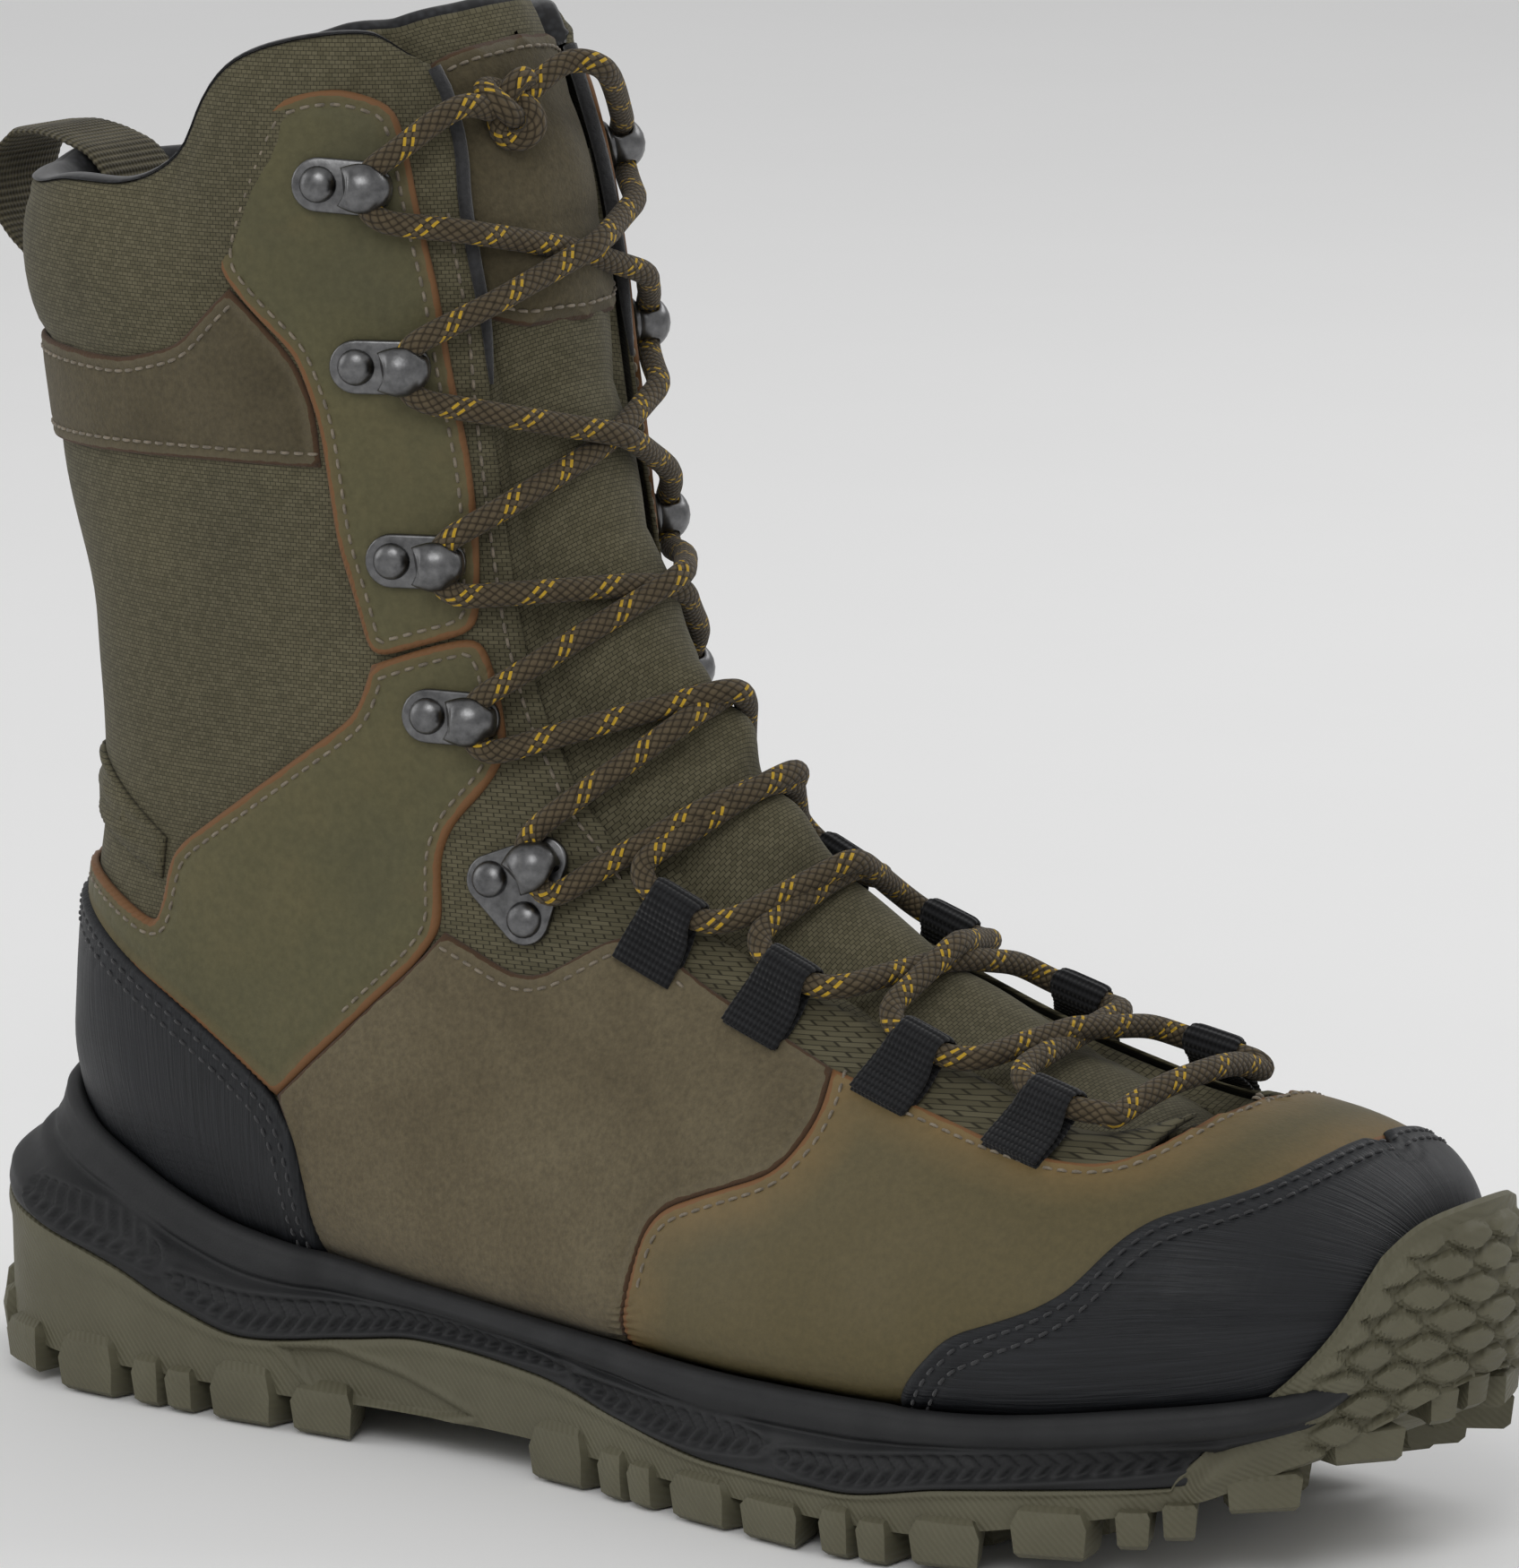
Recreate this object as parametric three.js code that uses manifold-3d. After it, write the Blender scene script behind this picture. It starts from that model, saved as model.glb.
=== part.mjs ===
// An insulated, lace-up hunting boot for the right foot.
// Frame: +X to the toe, +Y to the inner side of the foot, +Z up, millimetres. The group stands on z = 0
// with the middle of its bounding box over the origin.
import * as THREE from "three";
import { mergeVertices } from "three/addons/utils/BufferGeometryUtils.js";
import Module from "manifold-3d";

// Driving dimensions, mm
const LENGTH = 310; // outsole, heel to toe
const WIDTH = 109; // outsole, across the ball
const HEIGHT = 262; // floor to the top of the tongue
const GAP = 0.35; // between pieces that touch
const SHEET = 1.2; // each cloth or leather layer of the upper
const CAP = 1.6; // moulded rubber toe and heel caps
const STIFFENER = 1.2; // heel counter and toe puff
const INSULATION = 2.6; // fleece between the outside and the lining
const COLLAR_FOAM = 2.6; // foam in the collar, level with the insulation
const LINING = 1.2;
const LINING_BACK = 11; // lining and padding end this far behind the facings
const TONGUE = 4; // padded tongue
const BOARD = 1.4; // lasting board under the foot
const SHANK = 1.2; // stiffening plate in the arch
const SHANK_WIDTH = 18;
const SOLE_SIDE = 3.2; // sole wall outside the upper
const OUTSOLE = 6.5; // outsole plate above its lugs
const LUG = 5.5; // lug depth
const LUG_LENGTH = 15;
const LACE = 4.4; // lace diameter
const HOOK_WIDTH = 9.4;
const HOOK_LENGTH = 18;
const HOOK_PLATE = 1.2;
const RIVET_HEAD = 3.1; // radius
const RIVET_SHANK = 1.4; // radius
const CLENCH_RADIUS = 2.4; // of a rivet's spread end
const BORE_CLEARANCE = 0.4; // round a rivet's shank
const LOOP_WIDTH = 13; // webbing of the lace loops
const WEBBING = 1.1;
const PULL_WIDTH = 20; // heel pull loop

// The shape is drawn at these sizes and stretched to the driving ones.
const DRAWN = { length: 310, width: 109, height: 262 };
const STRETCH = new THREE.Vector3(
  LENGTH / DRAWN.length,
  WIDTH / DRAWN.width,
  HEIGHT / DRAWN.height,
);
const OUTER = "lateral"; // the side away from the other foot, at -Y
const INNER = "medial";
const SIDES = [OUTER, INNER];

// Layers of the upper, as distances out from its drawn surface, which runs inside the leather sheets.
const LEVEL = { overlay: [-SHEET / 2, SHEET / 2] };
LEVEL.cap = [LEVEL.overlay[1] + GAP, LEVEL.overlay[1] + GAP + CAP];
LEVEL.base = [LEVEL.overlay[0] - GAP - SHEET, LEVEL.overlay[0] - GAP];
LEVEL.stiffener = [LEVEL.base[0] - GAP - STIFFENER, LEVEL.base[0] - GAP];
LEVEL.insulation = [LEVEL.stiffener[0] - GAP - INSULATION, LEVEL.stiffener[0] - GAP];
LEVEL.collar = [LEVEL.stiffener[0] - GAP - COLLAR_FOAM, LEVEL.stiffener[0] - GAP];
LEVEL.lining = [
  Math.min(LEVEL.insulation[0], LEVEL.collar[0]) - GAP - LINING,
  Math.min(LEVEL.insulation[0], LEVEL.collar[0]) - GAP,
];
LEVEL.tongueEdge = LEVEL.lining[0] - 2 * GAP;
const CAVITY = LEVEL.cap[1] + GAP; // the sole's hollow for the upper

// The upper is a bent tube. Each station is a slanted section from the sole or heel to the instep or
// shin: back x, back z, front x, front z, half width outside and inside, shift of the ridge to the
// inside, height of the widest line, and the roundness above and below it (2 is an ellipse).
const STATIONS = [
  [304, 44, 304, 50, 3, 3, 9, 0.5, 2, 2],
  [301, 34, 301, 62, 19, 18, 9, 0.42, 2.2, 2.2],
  [292, 29, 292, 70, 33, 31, 9, 0.38, 2.2, 2.6],
  [274, 26, 275, 75, 44, 41, 8, 0.34, 2.2, 3],
  [250, 23, 253, 78, 50, 46, 6, 0.3, 2.1, 3],
  [222, 22, 229, 84, 53, 48, 5, 0.26, 1.9, 3],
  [192, 22, 207, 93, 52, 46, 4, 0.23, 1.8, 3],
  [158, 22, 189, 103, 48, 42, 3, 0.22, 1.8, 2.8],
  [118, 22, 175, 114, 44, 39, 2, 0.24, 1.8, 2.6],
  [78, 23, 163, 127, 42, 38, 1, 0.3, 1.8, 2.4],
  [44, 27, 153, 139, 40, 38, 0, 0.38, 1.9, 2.4],
  [23, 38, 145, 151, 39, 38, 0, 0.42, 2, 2.4],
  [16, 58, 138, 163, 39, 38, 0, 0.45, 2.1, 2.4],
  [17, 82, 132, 176, 39, 39, 0, 0.47, 2.2, 2.3],
  [21, 108, 128, 189, 40, 40, 0, 0.48, 2.2, 2.3],
  [19, 138, 125, 203, 41, 41, 0, 0.48, 2.2, 2.3],
  [13, 168, 122, 217, 43, 43, 0, 0.48, 2.2, 2.3],
  [9, 198, 118, 232, 44, 44, 0, 0.48, 2.2, 2.3],
  [6, 224, 112, 248, 44, 44, 0, 0.48, 2.2, 2.3],
  [4, 242, 105, 264, 43, 43, 0, 0.48, 2.2, 2.3],
];
const ROWS = 15; // sections in a shell
const RING = 18; // points round a section

// Outlines in the side view, as drawn x and z. The inner side of the boot mirrors the outer one.
const THROAT = [
  [103, 262], [107, 248], [111, 236], [113, 225], [117, 206], [119, 190], [122, 170], [126, 150],
  [131, 135], [140, 120], [152, 108], [165, 100], [180, 94.5], [200, 87.5], [220, 81.5], [240, 75.5],
  [252, 73], [259, 74.5], [262, 80],
];
const RIM = [[-10, 219], [22, 219], [35, 223], [56, 225], [65, 231], [70, 243], [77, 250], [89, 254],
  [112, 255]]; // of the collar
const FLOOR_EDGE = [[322, 40], [301, 37], [292, 32], [274, 29], [250, 27], [60, 27], [40, 30],
  [10, 44]];
const COLLAR_LINE = [[-10, 190], [60, 193], [75, 206], [80, 222], [112, 232]];
const BAND = [[-10, 175], [60, 178], [92, 177], [92, 186], [89, 197], [80, 205], [75, 209], [63, 197],
  [48, 194], [-10, 195]];
const EYESTAY = [[83, 243], [78, 231], [74, 219], [74, 212], [81, 205], [89, 198], [93, 185], [95, 165],
  [99, 150], [101, 146], [110, 148], [119, 151], [117, 179], [113, 198], [111, 211], [105, 233],
  [101, 244], [94, 247], [87, 246]];
const ANKLE = [[101, 145], [110, 147], [119, 150], [125, 128], [122, 122], [117, 115], [115, 110],
  [117, 96], [112, 89], [97, 75], [82, 62], [56, 77], [26, 91], [0, 96], [0, 100], [28, 98], [54, 96],
  [57, 104], [98, 132], [102, 136]];
const FLEX = [[-10, 106], [28, 106.5], [53, 98.5], [54, 105.5], [29, 118], [-10, 119]];
const QUARTER = [[118, 96], [126, 91], [136, 89], [150, 97], [157, 97], [169, 91], [199, 80], [201, 73],
  [199, 67], [196, 63], [173, 54], [170, 49], [168, 39], [166, 27], [90, 27], [90, 53], [83, 62],
  [97, 74.5], [112, 88.5]];
const VAMP = [[166, 27], [168, 39], [170, 49], [173, 54], [196, 63], [199, 67], [201, 73], [199, 80],
  [213, 76], [232, 72], [252, 69], [261, 70], [267, 76], [268, 100], [330, 100], [330, 40],
  ...FLOOR_EDGE.slice(1, 5)];
const TOE_CAP = [[223, 25], [235, 37], [240, 42], [254, 47], [260, 51], [265, 59], [270, 63], [283, 67],
  [288, 74], [288, 100], [330, 100], [330, 40], ...FLOOR_EDGE.slice(1, 4), [240, 26]];
const HEEL_CAP = [[0, 96], [26, 91], [56, 77], [82, 62], [88, 53], [89, 27], [60, 27], [40, 30],
  [10, 44], [0, 60]];
const COUNTER = [[0, 78], [50, 70], [72, 50], [72, 27], [60, 27], [40, 30], [10, 44]];
const TOE_PUFF = [[330, 85], [270, 85], [256, 60], [252, 27], [274, 29], [292, 32], [301, 37],
  [330, 40]];
const TONGUE_BACK = [[250, 60], [232, 69], [205, 79], [182, 86], [163, 91], [146, 100], [132, 113],
  [122, 128], [115, 146], [110, 168], [107, 190], [104, 206], [101, 222], [94, 240], [80, 252],
  [84, 262]];
const PATCH = [[140, 206], [119, 206], [114, 209], [105, 248], [107, 253], [112, 255], [140, 256]];
const FELT_TOP = [[301, 46], [292, 41], [270, 36], [200, 35], [70, 36], [40, 38], [20, 40]];

// Outsole outline from above, starting behind the heel and going round the outer side.
const SOLE_PLAN = [[0, 0], [3, -16], [10, -29], [28, -41], [70, -43], [110, -41], [145, -43],
  [180, -50], [212, -55], [240, -54], [266, -46], [286, -33], [301, -15], [309, 0], [310, 12],
  [305, 26], [290, 39], [265, 46], [230, 50], [195, 46], [155, 38], [115, 35], [70, 39], [28, 39],
  [10, 28], [3, 15]];
const WELT = [[-10, 58], [12, 51], [34, 45], [68, 34], [102, 31], [150, 28], [197, 26], [240, 27],
  [277, 32], [294, 35], [303, 40], [330, 46]]; // top edge of the sole's sides
const BUMPER_TOP = [[282, 30], [292, 40], [300, 54], [306, 62], [330, 66]]; // sole turned up at the toe
const SPRING = [[-10, 9], [0, 7], [12, 4], [32, 0], [200, 0], [232, 0], [246, 2], [262, 5], [277, 8],
  [291, 14], [303, 22], [316, 33]]; // height of the tread
const SPLIT = [[-10, 24], [20, 25], [46, 23], [72, 18], [100, 18], [144, 19], [166, 15], [190, 12],
  [222, 12], [240, 15], [262, 18], [280, 21], [289, 26], [295, 36], [299, 70]]; // midsole over outsole

// Places of the lacing, as drawn x and z on the outside of the upper.
const HOOKS = [[96, 229], [103, 197], [109, 162], [116, 134]];
const LOCK_HOOK = [131, 106];
const LOOPS = [[160, 99.5], [184, 90], [212, 80.5], [240, 74]];

const wasm = await Module();
wasm.setup();

const boot = new THREE.Group();
const MATERIALS = {
  cloth: [0x55543f, 0.9, 0],
  suede: [0x6b6350, 0.95, 0],
  nubuck: [0x5f5d41, 0.85, 0],
  rubber: [0x23262a, 0.6, 0],
  tread: [0x4c4b3a, 0.8, 0],
  mesh: [0x1c1d20, 0.9, 0],
  fleece: [0xcfcabb, 1, 0],
  foam: [0x8b8878, 1, 0],
  board: [0xa58f6a, 0.9, 0],
  steel: [0x9a9c9f, 0.35, 1],
  webbing: [0x2b2c2d, 0.9, 0],
  khaki: [0x5e5b47, 0.9, 0],
  lace: [0x4a4332, 0.9, 0],
};

function material(name) {
  const [color, roughness, metalness] = MATERIALS[name];
  return new THREE.MeshStandardMaterial({ color, roughness, metalness, flatShading: true });
}

// Joins and cuts ---------------------------------------------------------------------------------

function solid(geometry) {
  const bare = geometry.clone();
  bare.deleteAttribute("normal");
  bare.deleteAttribute("uv");
  const merged = mergeVertices(bare, 1e-4);
  return new wasm.Manifold(
    new wasm.Mesh({
      numProp: 3,
      vertProperties: new Float32Array(merged.attributes.position.array),
      triVerts: new Uint32Array(merged.index.array),
    }),
  );
}

function addMesh(name, slot, made) {
  const { numProp, vertProperties, triVerts } = made.getMesh();
  const points = [];
  for (const v of triVerts) points.push(...vertProperties.subarray(v * numProp, v * numProp + 3));
  const geometry = new THREE.BufferGeometry();
  geometry.setAttribute("position", new THREE.Float32BufferAttribute(points, 3));
  geometry.computeVertexNormals();
  const mesh = new THREE.Mesh(geometry, material(slot));
  mesh.name = name;
  boot.add(mesh);
}

// The upper's surface ------------------------------------------------------------------------------

// A smooth curve through knots that keeps level where they are level (monotone cubic).
function smoothCurve(xs, ys) {
  const n = xs.length;
  const slope = [];
  for (let i = 0; i < n - 1; i++) slope.push((ys[i + 1] - ys[i]) / (xs[i + 1] - xs[i]));
  const tangent = ys.map((_, i) => {
    if (i === 0) return slope[0];
    if (i === n - 1) return slope[n - 2];
    const [a, b] = [slope[i - 1], slope[i]];
    return a * b <= 0 ? 0 : (2 * a * b) / (a + b);
  });
  return (x) => {
    let i = 0;
    while (i < n - 2 && x > xs[i + 1]) i++;
    const h = xs[i + 1] - xs[i];
    const t = (x - xs[i]) / h;
    if (t < 0) return ys[0] + slope[0] * (x - xs[0]);
    if (t > 1) return ys[n - 1] + slope[n - 2] * (x - xs[n - 1]);
    const [t2, t3] = [t * t, t * t * t];
    return (
      (2 * t3 - 3 * t2 + 1) * ys[i] +
      (t3 - 2 * t2 + t) * h * tangent[i] +
      (3 * t2 - 2 * t3) * ys[i + 1] +
      (t3 - t2) * h * tangent[i + 1]
    );
  };
}

const along = STATIONS.map((_, i) => i / (STATIONS.length - 1));
const columns = STATIONS[0].map((_, c) => smoothCurve(along, STATIONS.map((s) => s[c])));

// v runs from the toe (0) to the top (1); phi is 0 at the front ridge and grows to the outer side.
function drawnPoint(v, phi) {
  const [bx, bz, tx, tz, outside, inside, ridge, waist, above, below] = columns.map((f) => f(v));
  const [c, s] = [Math.cos(phi), Math.sin(phi)];
  const power = 2 / (c >= 0 ? above : below);
  const cu = Math.sign(c) * Math.abs(c) ** power;
  const su = Math.sign(s) * Math.abs(s) ** power;
  const up = waist + cu * (c >= 0 ? 1 - waist : waist);
  const half = s >= 0 ? outside : inside;
  const shift = ridge * Math.max(0, (up - waist) / (1 - waist));
  return new THREE.Vector3(bx + (tx - bx) * up, shift - su * half, bz + (tz - bz) * up).multiply(STRETCH);
}

function surfaceNormal(v, phi) {
  if (v <= 0) return new THREE.Vector3(1, 0, 0);
  const step = 0.004;
  const across = drawnPoint(v, phi + step).sub(drawnPoint(v, phi - step));
  const [low, high] = [Math.max(v - step, 0), Math.min(v + step, 1)];
  const lengthwise = drawnPoint(high, phi).sub(drawnPoint(low, phi));
  return lengthwise.cross(across).normalize();
}

function skin(v, phi, out) {
  return drawnPoint(v, phi).addScaledVector(surfaceNormal(v, phi), out);
}

// Where a drawn side-view point lies on the upper.
function placeOf(x, z, side) {
  const cross = (v) => {
    const [bx, bz, tx, tz] = columns.slice(0, 4).map((f) => f(v));
    return (tx - bx) * (z - bz) - (tz - bz) * (x - bx);
  };
  let [low, high] = [0.02, 1];
  for (let i = 0; i < 40; i++) {
    const middle = (low + high) / 2;
    if (cross(middle) > 0) low = middle;
    else high = middle;
  }
  const v = (low + high) / 2;
  const [bx, bz, tx, tz, , , , waist, above, below] = columns.map((f) => f(v));
  const up = ((x - bx) * (tx - bx) + (z - bz) * (tz - bz)) / ((tx - bx) ** 2 + (tz - bz) ** 2);
  const share = up >= waist ? (up - waist) / (1 - waist) : (waist - up) / waist;
  const c = Math.min(share, 1) ** ((up >= waist ? above : below) / 2);
  const phi = up >= waist ? Math.acos(c) : Math.PI - Math.acos(c);
  return { v, phi: side === OUTER ? phi : -phi };
}

// A grid of rings from the toe to the top, closed at the toe, as triangles between numbered points.
function ringFaces(first, rows, ring, inward) {
  const faces = [];
  const put = (a, b, c) => faces.push(...(inward ? [a, b, c] : [a, c, b]));
  for (let j = 0; j < ring; j++) {
    const k = (j + 1) % ring;
    put(first, first + 1 + k, first + 1 + j);
    for (let i = 0; i < rows - 1; i++) {
      const [a, b] = [first + 1 + i * ring, first + 1 + (i + 1) * ring];
      put(a + j, a + k, b + j);
      put(a + k, b + k, b + j);
    }
  }
  return faces;
}

function manifoldFrom(points, faces) {
  return new wasm.Manifold(
    new wasm.Mesh({
      numProp: 3,
      vertProperties: new Float32Array(points.flatMap((p) => [p.x, p.y, p.z])),
      triVerts: new Uint32Array(faces),
    }),
  );
}

function layerPoints(out) {
  const points = [skin(0, 0, out)];
  for (let i = 1; i <= ROWS; i++)
    for (let j = 0; j < RING; j++) points.push(skin(i / ROWS, (2 * Math.PI * j) / RING, out));
  return points;
}

// The whole upper at one distance from its drawn surface, as one block, open to nothing.
function block(out) {
  const points = layerPoints(out);
  const last = 1 + (ROWS - 1) * RING;
  const top = points.length;
  points.push(drawnPoint(1, 0).add(drawnPoint(1, Math.PI)).multiplyScalar(0.5));
  const faces = ringFaces(0, ROWS, RING, false);
  for (let j = 0; j < RING; j++) faces.push(last + j, top, last + ((j + 1) % RING));
  return manifoldFrom(points, faces);
}

// A sock of even thickness between two distances, open at the top.
function sock([inner, outer]) {
  const outside = layerPoints(outer);
  const count = outside.length;
  const last = 1 + (ROWS - 1) * RING;
  const faces = [...ringFaces(0, ROWS, RING, false), ...ringFaces(count, ROWS, RING, true)];
  for (let j = 0; j < RING; j++) {
    const k = (j + 1) % RING;
    faces.push(last + j, count + last + j, last + k, last + k, count + last + j, count + last + k);
  }
  return manifoldFrom([...outside, ...layerPoints(inner)], faces);
}

// Cutters ------------------------------------------------------------------------------------------

// An outline of the side view, pushed through the outer half, the inner half or both.
function sideCutter(outline, side) {
  const reach = WIDTH;
  const corners = outline.map(([x, z]) => new THREE.Vector2(x * STRETCH.x, z * STRETCH.z));
  const shape = new THREE.Shape(corners);
  const depth = side ? reach : 2 * reach;
  const geometry = new THREE.ExtrudeGeometry(shape, { depth, bevelEnabled: false, steps: 1 });
  geometry.rotateX(Math.PI / 2);
  if (side !== OUTER) geometry.translate(0, reach, 0);
  if (side === INNER) geometry.translate(0, GAP / 2, 0);
  if (side === OUTER) geometry.translate(0, -GAP / 2, 0);
  return solid(geometry);
}

// Draws a closed outline in by a distance, so that neighbours keep a gap.
function inset(outline, distance) {
  const n = outline.length;
  const area = outline.reduce((sum, [x, z], i) => {
    const [nx, nz] = outline[(i + 1) % n];
    return sum + x * nz - nx * z;
  }, 0);
  const turn = Math.sign(area);
  return outline.map(([x, z], i) => {
    const [px, pz] = outline[(i + n - 1) % n];
    const [nx, nz] = outline[(i + 1) % n];
    const a = new THREE.Vector2(x - px, z - pz).normalize();
    const b = new THREE.Vector2(nx - x, nz - z).normalize();
    const bisector = a.clone().add(b).normalize();
    const reach = distance / Math.max(Math.sqrt((1 + a.dot(b)) / 2), 0.5);
    return [x - turn * bisector.y * reach, z + turn * bisector.x * reach];
  });
}

// The front opening: everything ahead of the facings' edges, a distance further in.
function openingCutter(back) {
  const edge = THROAT.map(([x, z], i) => {
    const [px, pz] = THROAT[Math.max(i - 1, 0)];
    const [nx, nz] = THROAT[Math.min(i + 1, THROAT.length - 1)];
    const length = Math.hypot(nx - px, nz - pz);
    return [x + ((nz - pz) / length) * back, z - ((nx - px) / length) * back];
  });
  const [topX] = edge[0];
  return sideCutter([[topX - 4, 300], ...edge, [262, 110], [200, 150], [170, 300]]);
}

// Everything over the collar's rim.
function rimCutter(raise) {
  const rim = RIM.map(([x, z]) => [x, z + raise]);
  return sideCutter([[-10, 320], ...rim, [140, 258 + raise], [140, 320]]);
}

// The upper's layers -------------------------------------------------------------------------------

function panel(name, slot, outline, level) {
  addMesh(name, slot, sock(level).intersect(sideCutter(inset(outline, GAP / 2))));
}

const drill = new THREE.CylinderGeometry(1, 1, 16, 7).rotateX(Math.PI / 2);
function rivetHoles(frames, radius) {
  return frames
    .map((frame) => placed(drill.clone().scale(radius, radius, 1), frame))
    .reduce((all, hole) => all.add(hole));
}

function placed(geometry, frame) {
  return solid(geometry.clone().applyMatrix4(frame));
}

// A frame on the upper: z out, x to the front along the surface, y up along it on the outer side.
function frameOn(x, z, side, out) {
  const { v, phi } = placeOf(x, z, side);
  const normal = surfaceNormal(v, phi);
  const forward = new THREE.Vector3(1, 0, 0).addScaledVector(normal, -normal.x).normalize();
  const upward = new THREE.Vector3().crossVectors(normal, forward);
  const frame = new THREE.Matrix4().makeBasis(forward, upward, normal);
  return frame.setPosition(skin(v, phi, out));
}

function shifted(frame, x, y, z) {
  return frame.clone().multiply(new THREE.Matrix4().makeTranslation(x, y, z));
}

// Hooks: a riveted plate whose front curls up and back over the lace.
const hookSeat = LEVEL.overlay[1] + 2 * GAP;
const NECK = 1.6; // radius of the hook's bend
const HOOK_OPEN = LACE + 4 * GAP; // under the curl
const RIVET_BACK = HOOK_LENGTH / 2 - HOOK_WIDTH / 2; // rivet behind the plate's middle
const LOCK_RIVETS = [[-5.2, -0.6], [2.4, -7]]; // on the three-lobed plate
const LOCK_NECK = [4.2, 3.4];
const hooks = {};
const rivets = {};
for (const side of SIDES) {
  const updown = side === OUTER ? 1 : -1; // y of a frame points down on the inner side
  HOOKS.forEach(([x, z], i) => {
    const frame = frameOn(x, z, side, hookSeat);
    const name = `hook_${i + 1}_${side}`;
    hooks[name] = { frame, neck: [RIVET_BACK + 0.6, 0], updown };
    rivets[name] = [shifted(frame, -RIVET_BACK, 0, 0)];
  });
  const frame = frameOn(...LOCK_HOOK, side, hookSeat);
  const name = `lock_hook_${side}`;
  hooks[name] = { frame, neck: [LOCK_NECK[0], LOCK_NECK[1] * updown], updown, lock: true };
  rivets[name] = LOCK_RIVETS.map(([rx, ry]) => shifted(frame, rx, ry * updown, 0));
}
const rivetFrames = Object.values(rivets).flat();
const bores = rivetHoles(rivetFrames, RIVET_SHANK + BORE_CLEARANCE);
const clenchPockets = rivetHoles(rivetFrames, CLENCH_RADIUS + BORE_CLEARANCE);

const opening = openingCutter(0);
const widerOpening = openingCutter(LINING_BACK);
const overRim = rimCutter(0);
const belowRim = rimCutter(-2);

addMesh(
  "upper_shell",
  "cloth",
  sock(LEVEL.base).subtract(opening).subtract(overRim).subtract(bores),
);
const collarZone = sideCutter([...COLLAR_LINE, [130, 300], [-10, 300]]);
const collarGap = sideCutter([...COLLAR_LINE.map(([x, z]) => [x, z - GAP]), [130, 300], [-10, 300]]);
addMesh(
  "insulation",
  "fleece",
  sock(LEVEL.insulation).subtract(widerOpening).subtract(collarGap).subtract(clenchPockets),
);
addMesh(
  "collar_foam",
  "foam",
  sock(LEVEL.collar).intersect(collarZone).subtract(widerOpening).subtract(belowRim),
);
addMesh("lining", "mesh", sock(LEVEL.lining).subtract(widerOpening).subtract(overRim));
panel("heel_counter", "board", COUNTER, LEVEL.stiffener);
panel("toe_puff", "board", TOE_PUFF, LEVEL.stiffener);
panel("suede_band", "suede", BAND, LEVEL.overlay);
panel("rear_flex_panel", "cloth", FLEX, LEVEL.overlay);
panel("vamp", "nubuck", VAMP, LEVEL.overlay);
panel("toe_cap", "rubber", TOE_CAP, LEVEL.cap);
panel("heel_cap", "rubber", HEEL_CAP, LEVEL.cap);
for (const side of SIDES) {
  const leather = (name, slot, outline) =>
    addMesh(
      `${name}_${side}`,
      slot,
      sock(LEVEL.overlay).intersect(sideCutter(inset(outline, GAP / 2), side)).subtract(bores),
    );
  leather("eyestay", "nubuck", EYESTAY);
  leather("ankle_panel", "nubuck", ANKLE);
  leather("quarter", "suede", QUARTER);
}

// Tongue -------------------------------------------------------------------------------------------

// Its face lies under the facings at the sides and swells out between them.
const TONGUE_SWELL = 4.5;
const TONGUE_HALF = 0.44; // angle from the ridge at which the swell ends
const TONGUE_RISE = [0.2, 0.36]; // along the upper, where the swell grows to its full height
function tongueLayer(depth) {
  const points = [];
  for (let i = 1; i <= ROWS; i++) {
    for (let j = 0; j < RING; j++) {
      const phi = (2 * Math.PI * j) / RING;
      const angle = Math.abs(phi > Math.PI ? phi - 2 * Math.PI : phi);
      const v = i / ROWS;
      const rise = THREE.MathUtils.smoothstep(v, ...TONGUE_RISE);
      const swell = TONGUE_SWELL * rise * Math.cos((Math.min(angle / TONGUE_HALF, 1) * Math.PI) / 2);
      points.push(skin(v, phi, LEVEL.tongueEdge + swell - depth));
    }
  }
  return points;
}

function tongueSock(shallow, deep) {
  const outside = tongueLayer(shallow);
  const count = outside.length;
  const faces = [];
  for (let i = 0; i < ROWS - 1; i++) {
    for (let j = 0; j < RING; j++) {
      const [a, b] = [i * RING + j, i * RING + ((j + 1) % RING)];
      faces.push(a, a + RING, b, b, a + RING, b + RING);
      const [c, d] = [count + a, count + b];
      faces.push(c, d, c + RING, d, d + RING, c + RING);
    }
  }
  for (let j = 0; j < RING; j++) {
    const k = (j + 1) % RING;
    const last = (ROWS - 1) * RING;
    faces.push(last + j, count + last + j, last + k, last + k, count + last + j, count + last + k);
    faces.push(k, count + j, j, k, count + k, count + j);
  }
  return manifoldFrom([...outside, ...tongueLayer(deep)], faces);
}

const tongueZone = sideCutter([...TONGUE_BACK, [94, 262.5], [106, 263], [150, 264], [280, 120], [262, 70]]);
addMesh("tongue", "cloth", tongueSock(0, TONGUE).intersect(tongueZone));
addMesh(
  "tongue_patch",
  "suede",
  tongueSock(-GAP - SHEET, -GAP).intersect(sideCutter(PATCH)),
);

// Under the foot -----------------------------------------------------------------------------------

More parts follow.
